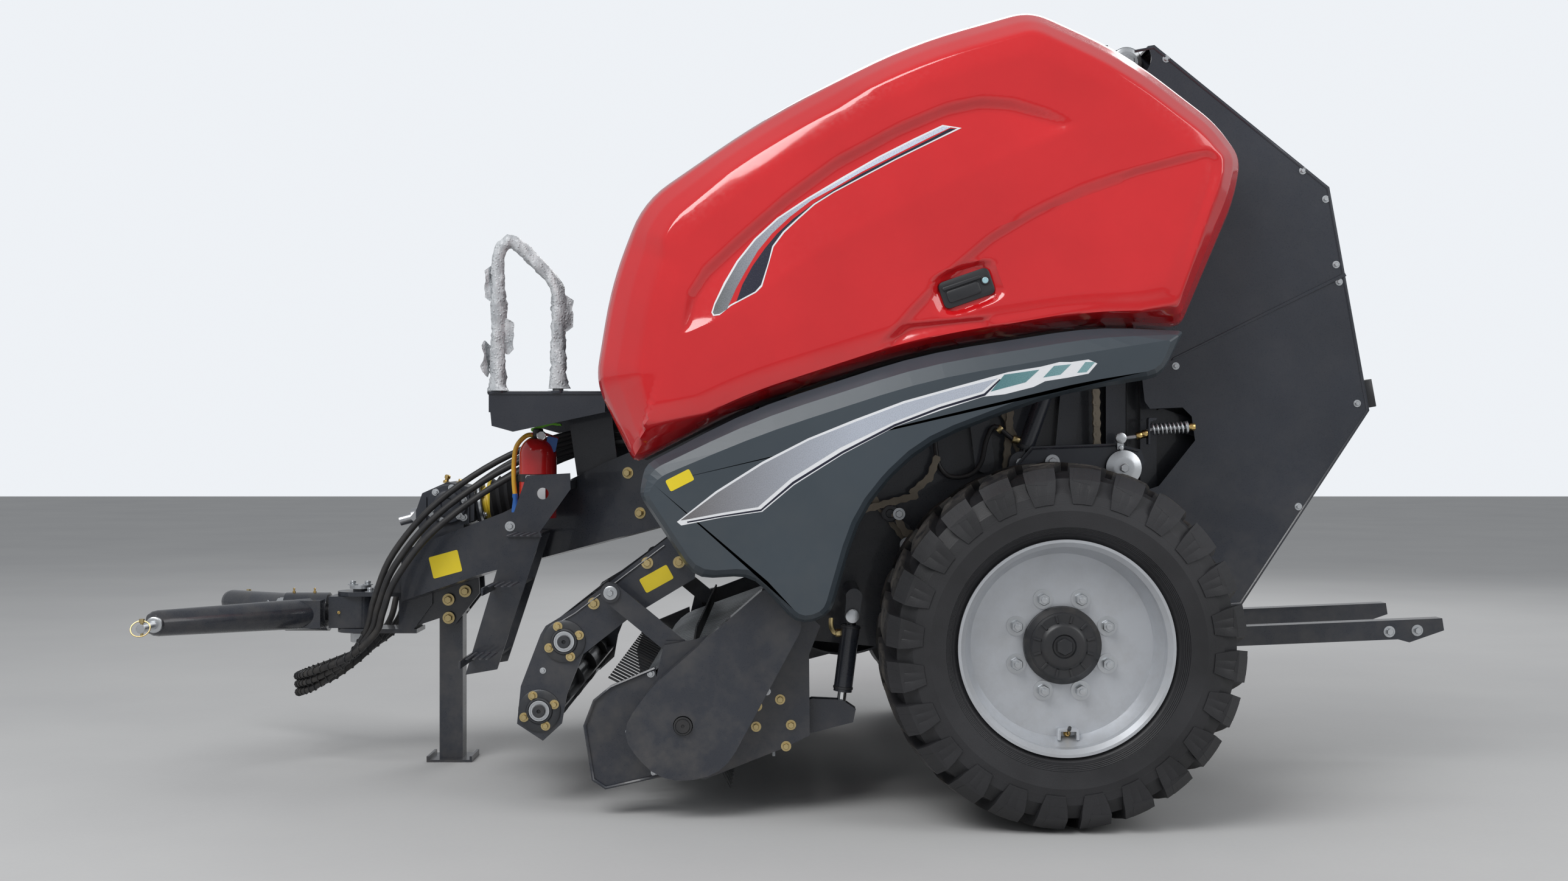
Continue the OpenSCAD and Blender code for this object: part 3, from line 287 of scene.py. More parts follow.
def coil(start, end, radius, turns, wire):
    """A spring between two points in millimetres."""
    a, b = Vector(start), Vector(end)
    along = b - a
    across = along.orthogonal().normalized()
    other = along.normalized().cross(across)
    total = int(turns * COIL_STEPS)
    route = []
    for k in range(total + 1):
        turn = 2 * math.pi * k / COIL_STEPS
        route.append(a + along * (k / total) + radius * (across * math.cos(turn) + other * math.sin(turn)))
    return swept(route, wire, 8)


def join(pieces, name):
    clear_selection()
    for piece in pieces:
        piece.select_set(True)
    bpy.context.view_layer.objects.active = pieces[0]
    if len(pieces) > 1:
        bpy.ops.object.join()
    return named(bpy.context.object, name)


def copies(master, places, name):
    """Copies of a master at places (point, direction, scale), joined; the master goes away."""
    made = []
    for place, direction, scale in places:
        copy = duplicate(master)
        turn = Vector(direction).to_track_quat("Z", "Y").to_matrix().to_4x4()
        copy.data.transform(Matrix.Translation(point(*place)) @ turn @ Matrix.Scale(scale, 4))
        made.append(copy)
    bpy.data.objects.remove(master)
    return join(made, name)


def flip_side(piece):
    """Mirrors a piece to the other side of the machine."""
    piece.data.transform(Matrix.Scale(-1, 4, (0, 1, 0)))
    piece.data.flip_normals()
    return piece


def dress(piece, key, body, smooth=35):
    """Gives a finished piece its finish, its smooth shading and the body that it rides on."""
    choose(piece)
    bpy.ops.object.shade_smooth_by_angle(angle=math.radians(smooth))
    piece.data.materials.clear()
    piece.data.materials.append(FINISHES[key])
    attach(piece, body)
    return piece


def dress_pair(piece, key, body, right_body=None, smooth=35):
    """Dresses a piece of the left side and its mirrored copy on the right."""
    name = piece.name
    other = named(flip_side(duplicate(piece)), name + "_right")
    dress(named(piece, name + "_left"), key, body, smooth)
    dress(other, key, right_body or body, smooth)


def hex_bolt(across, height=0.62, washer=True):
    """A hexagon bolt head with its washer, seated at the origin and pointing along Z."""
    clear_selection()
    flats = across / 2 / math.cos(math.pi / 6)
    base = across * 0.12 if washer else 0
    bpy.ops.mesh.primitive_cylinder_add(vertices=6, radius=flats, depth=across * height,
                                        location=(0, 0, base + across * height / 2))
    head = round_edges(apply_place(bpy.context.object), across * 60, 1)
    if not washer:
        return named(head, "Bolt")
    clear_selection()
    bpy.ops.mesh.primitive_cylinder_add(vertices=20, radius=across * 0.92, depth=base,
                                        location=(0, 0, base / 2))
    return join([head, apply_place(bpy.context.object)], "Bolt")


# Finishes

class Graph:
    """A material's nodes, added and linked in order."""

    def __init__(self, name):
        self.material = bpy.data.materials.new(name)
        self.material.use_nodes = True
        self.tree = self.material.node_tree
        self.shader = self.tree.nodes["Principled BSDF"]
        self.place = self.tree.nodes.new("ShaderNodeTexCoord").outputs["Object"]

    def node(self, kind, **settings):
        node = self.tree.nodes.new(kind)
        for key, value in settings.items():
            setattr(node, key, value)
        return node

    def link(self, output, socket):
        self.tree.links.new(output, socket)

    def maths(self, operation, a, b=None):
        node = self.node("ShaderNodeMath", operation=operation)
        for socket, value in zip(node.inputs, (a, b)):
            if value is None:
                continue
            if isinstance(value, (int, float)):
                socket.default_value = value
            else:
                self.link(value, socket)
        return node.outputs[0]

    def between(self, value, low, high):
        """1 where a value lies between two bounds, 0 elsewhere."""
        return self.maths("MULTIPLY", self.maths("GREATER_THAN", value, low),
                          self.maths("LESS_THAN", value, high))

    def noise(self, scale, detail=3, roughness=0.55, stretch=None):
        node = self.node("ShaderNodeTexNoise")
        node.inputs["Scale"].default_value = scale
        node.inputs["Detail"].default_value = detail
        node.inputs["Roughness"].default_value = roughness
        if stretch:
            mapping = self.node("ShaderNodeMapping")
            mapping.inputs["Scale"].default_value = stretch
            self.link(self.place, mapping.inputs["Vector"])
            self.link(mapping.outputs["Vector"], node.inputs["Vector"])
        else:
            self.link(self.place, node.inputs["Vector"])
        return node.outputs["Fac"]

    def spread(self, value, low, high, to_low=0.0, to_high=1.0):
        node = self.node("ShaderNodeMapRange")
        for key, number in (("From Min", low), ("From Max", high), ("To Min", to_low), ("To Max", to_high)):
            node.inputs[key].default_value = number
        self.link(value, node.inputs["Value"])
        return node.outputs["Result"]

    def mix(self, share, a, b):
        node = self.node("ShaderNodeMix", data_type="RGBA")
        if isinstance(share, (int, float)):
            node.inputs["Factor"].default_value = share
        else:
            self.link(share, node.inputs["Factor"])
        for key, value in ((6, a), (7, b)):
            if isinstance(value, (tuple, list)):
                node.inputs[key].default_value = (*value[:3], 1)
            else:
                self.link(value, node.inputs[key])
        return node.outputs[2]

    def axis(self, which):
        """X, Z, the distance from the middle plane (Y) or the axle (R) in metres, or the angle round it (A)."""
        node = self.node("ShaderNodeSeparateXYZ")
        self.link(self.place, node.inputs[0])
        if which == "X":
            return node.outputs[0]
        if which == "Z":
            return node.outputs[2]
        if which == "Y":
            return self.maths("ABSOLUTE", node.outputs[1])
        low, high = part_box("rim_left")
        x = self.maths("SUBTRACT", node.outputs[0], (low[0] + high[0]) / 2)
        z = self.maths("SUBTRACT", node.outputs[2], (low[2] + high[2]) / 2)
        if which == "A":
            return self.maths("ARCTAN2", z, x)
        return self.maths("SQRT", self.maths("ADD", self.maths("MULTIPLY", x, x), self.maths("MULTIPLY", z, z)))

    def bump(self, height, strength, distance, base=None):
        node = self.node("ShaderNodeBump")
        node.inputs["Strength"].default_value = strength
        node.inputs["Distance"].default_value = distance
        self.link(height, node.inputs["Height"])
        if base is not None:
            self.link(base, node.inputs["Normal"])
        return node.outputs["Normal"]


DUST = (0.24, 0.21, 0.17)


def finish(name, colour, rough, metal=0.0, coat=0.0, shades=0.12, grain=420.0, relief=0.05, dust=0.25,
           brushed=None, zones=()):
    """A finish with slow colour changes, fine relief, uneven gloss and dust that thickens low down.

    zones are (axis, from, to, colour, roughness, metal): where the axis lies between the two distances,
    the zone's finish takes the place of the base one.
    """
    graph = Graph(name)
    shader = graph.shader
    slow = graph.noise(2.6, 4)
    fine = graph.noise(grain, 2, 0.6, brushed)
    darker = tuple(c * (1 - shades) for c in colour[:3])
    lighter = tuple(min(1, c * (1 + shades) + 0.002) for c in colour[:3])
    base = graph.mix(graph.spread(slow, 0.35, 0.65), darker, lighter)
    roughness = graph.spread(fine, 0.3, 0.7, max(0.03, rough - 0.05), min(1.0, rough + 0.07))
    metallic = None
    for which, start, stop, zone_colour, zone_rough, zone_metal in zones:
        share = graph.between(graph.axis(which), start, stop)
        shade = tuple(c * (1 - shades) for c in zone_colour)
        base = graph.mix(share, base, graph.mix(slow, shade, zone_colour))
        keep = graph.maths("SUBTRACT", 1.0, share)
        roughness = graph.maths("ADD", graph.maths("MULTIPLY", roughness, keep),
                                graph.maths("MULTIPLY", share, zone_rough))
        was = metal if metallic is None else metallic
        metallic = graph.maths("ADD", graph.maths("MULTIPLY", keep, was),
                               graph.maths("MULTIPLY", share, zone_metal))
    if dust:
        height = graph.spread(graph.axis("Z"), 1.1, 0.1, 0.12, 1.0)
        patch = graph.spread(graph.noise(9.0, 5, 0.7), 0.42, 0.75)
        share = graph.maths("MULTIPLY", graph.maths("MULTIPLY", height, patch), dust)
        base = graph.mix(share, base, DUST)
        dull = graph.maths("ADD", roughness, graph.maths("MULTIPLY", share, 0.5))
        roughness = graph.maths("MINIMUM", dull, 1.0)
    graph.link(base, shader.inputs["Base Color"])
    graph.link(roughness, shader.inputs["Roughness"])
    if metallic is None:
        shader.inputs["Metallic"].default_value = metal
    else:
        graph.link(metallic, shader.inputs["Metallic"])
    shader.inputs["Coat Weight"].default_value = coat
    shader.inputs["Coat Roughness"].default_value = 0.06
    if relief:
        graph.link(graph.bump(fine, 0.5, relief * MM), shader.inputs["Normal"])
    return graph.material


def stripe_finish(name, dark, light, start, stop):
    """Foil whose colour runs along X from dark to light."""
    graph = Graph(name)
    share = graph.spread(graph.axis("X"), start, stop)
    speckle = graph.spread(graph.noise(900, 2), 0.2, 0.8, -0.04, 0.04)
    graph.link(graph.mix(graph.maths("ADD", share, speckle), dark, light), graph.shader.inputs["Base Color"])
    graph.link(graph.spread(graph.noise(300, 2), 0.3, 0.7, 0.24, 0.32), graph.shader.inputs["Roughness"])
    graph.shader.inputs["Metallic"].default_value = 0.25
    return graph.material


def tyre_finish():
    """Rubber with moulded rings on the sidewall, fine cuts on the shoulder and dust on the tread."""
    graph = Graph("Tyre rubber")
    radius = graph.axis("R")
    rings = graph.spread(graph.maths("SINE", graph.maths("MULTIPLY", radius, 1700.0)), -1.0, 1.0)
    band = graph.between(radius, 0.318, 0.334)
    line = graph.between(radius, 0.398, 0.404)
    step = graph.between(radius, 0.424, 0.4285)
    angle = graph.axis("A")
    cuts = graph.maths("GREATER_THAN", graph.maths("SINE", graph.maths("MULTIPLY", angle, 144.0)), 0.86)
    shoulder = graph.maths("MULTIPLY", graph.maths("GREATER_THAN", radius, 0.472),
                           graph.maths("GREATER_THAN", graph.axis("Y"), 0.9))
    height = graph.maths("ADD", graph.maths("MULTIPLY", rings, band), graph.maths("ADD", line, step))
    height = graph.maths("SUBTRACT", height, graph.maths("MULTIPLY", cuts, shoulder))
    grain = graph.noise(260, 3)
    height = graph.maths("ADD", height, graph.maths("MULTIPLY", grain, 0.25))
    graph.link(graph.bump(height, 0.9, 0.0016), graph.shader.inputs["Normal"])
    rubber = tuple(colours().rubber)
    slow = graph.spread(graph.noise(3.0, 4), 0.35, 0.65)
    base = graph.mix(slow, tuple(c * 0.75 for c in rubber), tuple(c * 1.5 for c in rubber))
    worn = graph.maths("MULTIPLY", graph.spread(radius, 0.494, 0.506),
                       graph.spread(graph.noise(22, 4), 0.35, 0.7))
    base = graph.mix(graph.maths("MULTIPLY", worn, 0.6), base, (0.13, 0.115, 0.095))
    graph.link(base, graph.shader.inputs["Base Color"])
    gloss = graph.spread(graph.noise(6.0, 3), 0.3, 0.7, 0.42, 0.56)
    graph.link(graph.maths("ADD", gloss, graph.maths("MULTIPLY", worn, 0.3)), graph.shader.inputs["Roughness"])
    return graph.material


def film_finish():
    """Bubble film wound round the handrail: milky and glossy, with its bubbles as relief."""
    graph = Graph("Bubble film")
    cells = graph.node("ShaderNodeTexVoronoi", feature="F1")
    cells.inputs["Scale"].default_value = 105.0
    graph.link(graph.place, cells.inputs["Vector"])
    bubbles = graph.spread(cells.outputs["Distance"], 0.45, 0.1)
    folds = graph.noise(30, 4, 0.65, (1.0, 1.0, 0.35))
    normal = graph.bump(folds, 0.9, 0.006)
    graph.link(graph.bump(bubbles, 0.8, 0.0025, normal), graph.shader.inputs["Normal"])
    graph.link(graph.mix(graph.spread(folds, 0.3, 0.7), (0.33, 0.35, 0.37), (0.72, 0.74, 0.76)),
               graph.shader.inputs["Base Color"])
    graph.link(graph.spread(folds, 0.3, 0.7, 0.12, 0.34), graph.shader.inputs["Roughness"])
    return graph.material


FINISHES = {}


def make_finishes():
    """Makes every finish once. Colours come from the panel."""
    c = colours()
    paint, door, fairing, rim = (tuple(v) for v in (c.paint, c.door, c.fairing, c.rim))
    zinc, dark, yellow_zinc = (0.62, 0.64, 0.66), (0.02, 0.021, 0.024), (0.62, 0.49, 0.24)
    FINISHES.update({
        "paint": finish("Dark paint", paint, 0.30, coat=0.35, relief=0.04, grain=260),
        "paint_knuckle": finish("Swivel paint and zinc", paint, 0.30, coat=0.3, relief=0.04, grain=260, zones=(
            ("Z", 0.5765, 0.60, zinc, 0.35, 0.9), ("Z", 0.39, 0.4265, zinc, 0.35, 0.9),
            ("X", -1.76, -1.7395, zinc, 0.35, 0.9))),
        "paint_yoke": finish("Yoke paint", paint, 0.26, coat=0.45, relief=0.04, grain=260),
        "rail": finish("Grey rail paint", (0.30, 0.32, 0.33), 0.4, relief=0.05, grain=300),
        "paint_gearbox": finish("Cast gearbox", paint, 0.42, relief=0.5, grain=160, zones=(
            ("X", -1.36, -1.279, (0.55, 0.56, 0.58), 0.3, 1.0),)),
        "paint_levers": finish("Lever paint and zinc", paint, 0.32, coat=0.25, relief=0.04, grain=260, zones=(
            ("Y", 0.7505, 0.77, zinc, 0.28, 1.0), ("Y", 0.60, 0.7415, zinc, 0.4, 0.9))),
        "paint_hood": finish("Hood paint", paint, 0.34, coat=0.2, relief=0.04, grain=260, dust=0.15),
        "door": finish("Gloss door paint", door, 0.13, coat=1.0, shades=0.05, relief=0.012, grain=90, dust=0.05),
        "fairing": finish("Moulded fairing", fairing, 0.36, shades=0.06, relief=0.07, grain=700, dust=0.12),
        "rim": finish("Rim paint and hub", rim, 0.36, metal=0.55, shades=0.05, relief=0.06, grain=520,
                      dust=0.3, zones=(("R", 0.0, 0.1085, dark, 0.38, 0.0),)),
        "tyre": tyre_finish(),
        "roller": finish("Bare roller steel", (0.20, 0.20, 0.20), 0.38, metal=0.8, relief=0.12, grain=60,
                         brushed=(1.0, 0.04, 1.0), dust=0.3),
        "dark_steel": finish("Dark steel", (0.055, 0.058, 0.064), 0.4, metal=0.5, relief=0.1, grain=240),
        "galvanised": finish("Galvanised sheet", (0.26, 0.28, 0.30), 0.42, metal=0.75, shades=0.2, relief=0.08,
                             grain=120),
        "zinc": finish("White zinc", zinc, 0.32, metal=0.95, relief=0.05, grain=600, dust=0.12),
        "chrome": finish("Chromed rod", (0.80, 0.81, 0.82), 0.08, metal=1.0, shades=0.03, relief=0.01, dust=0.0),
        "yellow_zinc": finish("Yellow zinc", yellow_zinc, 0.34, metal=0.9, shades=0.2, relief=0.06, grain=500,
                              dust=0.12),
        "brass": finish("Brass", (0.74, 0.52, 0.20), 0.25, metal=1.0, relief=0.03, dust=0.05),
        "chain": finish("Oiled chain", (0.22, 0.19, 0.15), 0.42, metal=0.85, shades=0.25, relief=0.1, grain=300),
        "rubber": finish("Black rubber", (0.018, 0.018, 0.020), 0.48, shades=0.2, relief=0.08, grain=500),
        "plastic": finish("Black plastic", dark, 0.36, shades=0.1, relief=0.06, grain=700, dust=0.1),
        "guard": finish("Shaft guard and bellows", (0.016, 0.016, 0.018), 0.46, shades=0.15, relief=0.08,
                        grain=500, zones=(("X", -1.07, -1.0355, (0.72, 0.52, 0.03), 0.42, 0.0),)),
        "guard_yellow": finish("Yellow guard", (0.72, 0.52, 0.03), 0.42, shades=0.1, relief=0.06),
        "bottle": finish("Extinguisher paint", (0.55, 0.012, 0.014), 0.18, coat=0.8, shades=0.06, relief=0.01,
                         zones=(("Z", 1.0835, 1.12, dark, 0.35, 0.0), ("X", -0.7695, -0.74, dark, 0.35, 0.0))),
        "hose_yellow": finish("Yellow hose", (0.66, 0.36, 0.03), 0.40, shades=0.12, relief=0.05, dust=0.1),
        "blue": finish("Blue plastic", (0.02, 0.11, 0.38), 0.35, shades=0.1, relief=0.04, dust=0.05),
        "green": finish("Green plastic", (0.16, 0.52, 0.03), 0.4, shades=0.1, relief=0.04, dust=0.05),
        "red_plastic": finish("Red plastic", (0.48, 0.02, 0.02), 0.35, shades=0.1, relief=0.04, dust=0.05),
        "lock": finish("Pale lock", (0.42, 0.66, 0.72), 0.3, metal=0.3, shades=0.05, relief=0.02, dust=0.0),
        "white": finish("White foil", (0.78, 0.79, 0.81), 0.3, shades=0.03, relief=0.0, dust=0.0),
        "black_foil": finish("Black foil", (0.012, 0.013, 0.03), 0.24, shades=0.05, relief=0.0, dust=0.0),
        "red_foil": finish("Red foil", tuple(v * 0.95 for v in door), 0.16, coat=0.8, shades=0.04, relief=0.0,
                           dust=0.0),
        "silver_foil": stripe_finish("Silver foil", (0.10, 0.105, 0.10), (0.62, 0.66, 0.78), -0.27, 0.12),
        "long_foil": stripe_finish("Long silver foil", (0.17, 0.16, 0.16), (0.52, 0.56, 0.64), -0.34, 0.16),
        "teal_foil": stripe_finish("Teal foil", (0.10, 0.24, 0.26), (0.24, 0.42, 0.44), 0.5, 0.8),
        "label": finish("Blank label", tuple(c.label), 0.38, shades=0.05, relief=0.01, dust=0.15),
        "lens_red": finish("Red lens", (0.55, 0.01, 0.01), 0.12, coat=1.0, shades=0.08, relief=0.25, grain=190,
                           dust=0.05),
        "lens_orange": finish("Orange lens", (0.85, 0.16, 0.01), 0.12, coat=1.0, shades=0.08, relief=0.25,
                              grain=190, dust=0.05),
        "film": film_finish(),
    })


# Which finish each node of the model takes
NODE_FINISH = {
    "paint": ("drawbar", "side_frame_left", "side_frame_right", "gate_feet", "fairing_posts", "cross_beams",
              "axle", "platform", "ladder", "tailgate_frame", "tailgate_shell", "gate_barrels", "parking_stand",
              "pickup_frame", "pickup_cover", "lift_barrels", "press_arms", "press_links", "press_roller_upper",
              "press_roller_lower", "bale_ramp"),
    "paint_hood": ("front_hood",),
    "roller": ("chamber_rollers", "tailgate_rollers"),
    "rail": ("handrail",),
    "bottle": ("fire_extinguisher",),
    "paint_gearbox": ("gearbox",),
    "guard": ("drive_shaft",),
    "fairing": ("fairing_left", "fairing_right"),
    "door": ("door_left", "door_right"),
    "chain": ("chain_drive",),
    "paint_levers": ("lock_levers",),
    "rubber": ("hose_upper", "hose_middle", "hose_lower"),
    "tyre": ("tyre_left", "tyre_right"),
    "rim": ("rim_left", "rim_right"),
    "dark_steel": ("feed_rotor", "pickup_reel"),
    "galvanised": ("pickup_strippers",),
    "lens_orange": ("tail_lamps",),
    "chrome": ("gate_rods", "lift_rods"),
    "paint_knuckle": ("hitch_knuckle",),
    "paint_yoke": ("hitch_yoke",),
    "zinc": ("link_pin_left", "link_pin_right"),
}


class BALER_OT_node_finishes(bpy.types.Operator):
    """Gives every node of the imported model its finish"""

    bl_idname = "baler.node_finishes"
    bl_label = "Node finishes"

    def execute(self, context):
        make_finishes()
        for key, names in NODE_FINISH.items():
            for name in names:
                mesh = NODES[name].data
                if not mesh.materials:
                    mesh.materials.append(FINISHES[key])
                for slot in range(len(mesh.materials)):
                    mesh.materials[slot] = FINISHES[key]
        bare = set(NODES) - {name for names in NODE_FINISH.values() for name in names}
        if bare:
            raise RuntimeError(f"nodes without a finish: {sorted(bare)}")
        return {"FINISHED"}


# Stage

CAMERA_PLACE = (-0.05, -6.4, 1.078)
CAMERA_LENS = 43.36
FLOOR_SIZE = 60
# Strength of the sky as a light, and as the camera sees it
SKY_STRENGTH = (0.42, 0.92)
# Lights: name, place, target, size, watts
LIGHTS = (
    ("Key light", (-3.0, -5.5, 6.5), (0, -0.3, 1.0), (5.0, 4.0), 400),
    ("Fill light", (5.5, -4.5, 4.0), (0, 0, 1.0), (4.0, 4.0), 130),
    ("Back light", (2.0, 6.5, 5.5), (0, 0, 1.0), (6.0, 4.0), 200),
)


def light_panel(name, place, target, size, watts):
    lamp = bpy.data.lights.new(name, "AREA")
    lamp.shape = "RECTANGLE"
    lamp.size, lamp.size_y = size
    lamp.energy = watts
    holder = bpy.data.objects.new(name, lamp)
    bpy.context.scene.collection.objects.link(holder)
    holder.location = place
    holder.rotation_euler = (Vector(target) - Vector(place)).to_track_quat("-Z", "Y").to_euler()


class BALER_OT_stage(bpy.types.Operator):
    """Adds the camera, the pale floor and the soft studio light"""

    bl_idname = "baler.stage"
    bl_label = "Stage"

    def execute(self, context):
        scene = context.scene
        camera = bpy.data.cameras.new("Camera")
        camera.sensor_width = 36
        camera.lens = CAMERA_LENS
        camera.clip_end = 100
        holder = bpy.data.objects.new("Camera", camera)
        scene.collection.objects.link(holder)
        holder.location = CAMERA_PLACE
        holder.rotation_euler = (math.radians(90), 0, 0)
        scene.camera = holder
        clear_selection()
        bpy.ops.mesh.primitive_plane_add(size=FLOOR_SIZE, location=(0, 0, 0))
        floor = context.object
        floor.name = "Floor"
        graph = Graph("Pale floor")
        shade = graph.spread(graph.noise(0.8, 5), 0.3, 0.7)
        graph.link(graph.mix(shade, (0.50, 0.50, 0.50), (0.54, 0.54, 0.535)), graph.shader.inputs["Base Color"])
        graph.link(graph.spread(graph.noise(60, 3), 0.3, 0.7, 0.75, 0.9), graph.shader.inputs["Roughness"])
        floor.data.materials.append(graph.material)
        world = bpy.data.worlds.new("Pale sky")
        world.use_nodes = True
        tree = world.node_tree
        back = tree.nodes["Background"]
        path = tree.nodes.new("ShaderNodeLightPath")
        seen = tree.nodes.new("ShaderNodeMath")
        seen.operation = "MAXIMUM"
        tree.links.new(path.outputs["Is Camera Ray"], seen.inputs[0])
        tree.links.new(path.outputs["Is Transmission Ray"], seen.inputs[1])
        strength = tree.nodes.new("ShaderNodeMapRange")
        for key, value in zip(("To Min", "To Max"), SKY_STRENGTH):
            strength.inputs[key].default_value = value
        tree.links.new(seen.outputs[0], strength.inputs["Value"])
        back.inputs["Color"].default_value = (0.93, 0.96, 1.0, 1)
        tree.links.new(strength.outputs["Result"], back.inputs["Strength"])
        scene.world = world
        for light in LIGHTS:
            light_panel(*light)
        scene.view_settings.view_transform = "Standard"
        return {"FINISHED"}


# Hydraulic hoses. Half route of the upper hose as [x, y, z], and how far each next hose lies from it
HOSE_ROUTE = (
    (-119.3, -200, 1130, 0, -30, -28), (-180, -200, 1130, 0, -30, -28), (-400, -205, 1128, 0, -30, -25),
    (-700, -210, 1110, 0, -30, -28), (-950, -205, 1030, 0, -30, -38), (-1180, -215, 880, 0, -30, -45),
    (-1330, -205, 710, 10, -30, -40), (-1395, -195, 560, 20, -30, -20), (-1425, -185, 450, 22, -30, 0),
    (-1500, -165, 345, 12, -28, 12), (-1600, -125, 265, 0, -22, 26), (-1670, -65, 236, 0, -12, 28),
    (-1690, 0, 228, 0, 0, 28),
)
HOSE_NAMES = ("hose_upper", "hose_middle", "hose_lower")
FERRULE = [(1, 9), (2, 15), (20, 15), (21, 12.5), (58, 12.5), (60, 11.3)]
HOSE_STEPS = 6
# The drawn hose is a hair thinner than the solid that it replaces
HOSE_FIT = 0.99
# The spiral guard: where it begins, its lead, the thickness of its band and the steps of a turn
WRAP_START = -1420
WRAP_LEAD = 26
WRAP_BAND = 4.0
WRAP_STEPS = 9


def hose_points(k):
    """The route of the k-th hose: its drawn half and the half that mirrors it."""
    half = [(x + k * dx, y + k * dy, z + k * dz) for x, y, z, dx, dy, dz in HOSE_ROUTE]
    return half + [(x, -y, z) for x, y, z in reversed(half[:-1])]


def smooth_path(points, steps):
    """A smooth curve through points, with steps between two of them."""
    out = []
    last = len(points) - 1
    for i in range(last):
        a, b, c, d = (Vector(points[j]) for j in (max(i - 1, 0), i, i + 1, min(i + 2, last)))
        for k in range(steps):
            u = k / steps
            out.append(0.5 * (2 * b + (c - a) * u + (2 * a - 5 * b + 4 * c - d) * u * u
                              + (3 * b - a - 3 * c + d) * u ** 3))
    out.append(Vector(points[last]))
    return out


def length_of(points):
    return sum((b - a).length for a, b in zip(points, points[1:]))


class BALER_OT_hoses(bpy.types.Operator):
    """Builds the three hydraulic hoses, the ferrules at their ends and the spiral wrap round their loop"""

    bl_idname = "baler.hoses"
    bl_label = "Hydraulic hoses"

    def execute(self, context):
        diameter = sizes().hose / MM
        for k, node in enumerate(HOSE_NAMES):
            drawn = smooth_path(hose_points(k), HOSE_STEPS)
            hose = named(swept(drawn, diameter * HOSE_FIT, 16), node + "_hose")
            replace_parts(dress(hose, "rubber", "chassis", smooth=60), node)
            wrap = self.wrap(drawn, diameter, node)
            ends = []
            for tip, inner in ((drawn[0], drawn[2]), (drawn[-1], drawn[-3])):
                way = (inner - tip).normalized()
                ends.append(turned(FERRULE, tip, tip + way, 20))
            ferrules = dress(join(ends, node + "_ferrules"), "zinc", "chassis")
        return {"FINISHED"}

    def wrap(self, route, diameter, node):
        """A spiral guard: a thin band wound round the part of the hose in front of the swivel."""
        loop = [p for p in route if p.x < WRAP_START]
        radius = diameter / 2 + 0.4 * WRAP_BAND
        turns = int(length_of(loop) / WRAP_LEAD)
        frames = []
        for i, p in enumerate(loop):
            along = (loop[min(i + 1, len(loop) - 1)] - loop[max(i - 1, 0)]).normalized()
            side = along.cross(Vector((0.2, 0.1, 1))).normalized()
            frames.append((p, side, side.cross(along)))
        winding = []
        total = turns * WRAP_STEPS
        for k in range(total + 1):
            at = k / total * (len(loop) - 1)
            i = min(int(at), len(loop) - 2)
            u = at - i
            centre = frames[i][0].lerp(frames[i + 1][0], u)
            side = frames[i][1].lerp(frames[i + 1][1], u).normalized()
            up = frames[i][2].lerp(frames[i + 1][2], u).normalized()
            turn = 2 * math.pi * k / WRAP_STEPS
            winding.append(centre + radius * (side * math.cos(turn) + up * math.sin(turn)))
        return dress(named(swept(winding, WRAP_BAND, 8), node + "_wrap"), "plastic", "chassis", smooth=60)


# Side doors. Outline of the rim as (x, z, length rounded at the corner, how far the face lies inside it)
DOOR_CORNERS = (
    (-480, 1012, 25, 95), (-150, 1180, 120, 30), (330, 1335, 140, 30), (820, 1412, 140, 30),
    (1088, 1405, 25, 55), (1240, 1760, 90, 75), (1264, 1885, 45, 80), (1190, 1990, 70, 85), (930, 2190, 130, 85),
    (655, 2315, 60, 85), (300, 2215, 170, 85), (-100, 2010, 180, 95), (-455, 1765, 90, 110),
    (-545, 1530, 110, 130), (-592, 1245, 60, 130),
)
# Half width at the rim, how deep the skin bulges out to the face, and its thickness
DOOR_RIM = 790
DOOR_WALL = 160
DOOR_SKIN = 6
# Outlines of the face's recesses, and how deep each is pressed
DOOR_VALLEY = (
    (-342, 1372), (-325, 1489), (-279, 1562), (-190, 1645), (-51, 1767), (88, 1869), (266, 1965), (400, 2022),
    (500, 2042), (590, 2035), (690, 2003), (775, 1962), (640, 1900), (480, 1830), (264, 1726), (66, 1617),
    (-113, 1497), (-232, 1416),
)
DOOR_STEP = (
    (150, 1260), (210, 1345), (300, 1450), (392, 1547), (519, 1655), (640, 1727), (772, 1790), (930, 1845),
    (1101, 1890), (1300, 1930), (1300, 1300), (600, 1200),
)
DOOR_NOTCH = ((170, 1240), (205, 1310), (291, 1408), (519, 1428), (551, 1379), (700, 1385), (700, 1250))
VALLEY_DEPTH = 20
STEP_DEPTH = 15
NOTCH_DEPTH = 13
LATCH = (462, 1505)
LATCH_TILT = math.radians(19)
LATCH_DEPTH = 20
# Half length and half height of the latch's recess
LATCH_RECESS = (98, 66)


def round_corner(before, here, after, cut, steps):
    """The curve that rounds a corner, as flat points; it takes at most 45% of each side."""
    t = min(cut, 0.45 * (before - here).length, 0.45 * (after - here).length)
    start = here + (before - here).normalized() * t
    end = here + (after - here).normalized() * t
    return [start * (1 - u) ** 2 + here * 2 * u * (1 - u) + end * u * u
            for u in (k / steps for k in range(steps + 1))]


def soft_outline(corners, steps):
    """Rounds each corner of an outline and keeps its inset: rows of (x, z, inset)."""
    out = []
    for i, (x, z, cut, inset) in enumerate(corners):
        before, after = Vector(corners[i - 1][:2]), Vector(corners[(i + 1) % len(corners)][:2])
        out += [(p.x, p.y, inset) for p in round_corner(before, Vector((x, z)), after, cut, steps)]
    return out


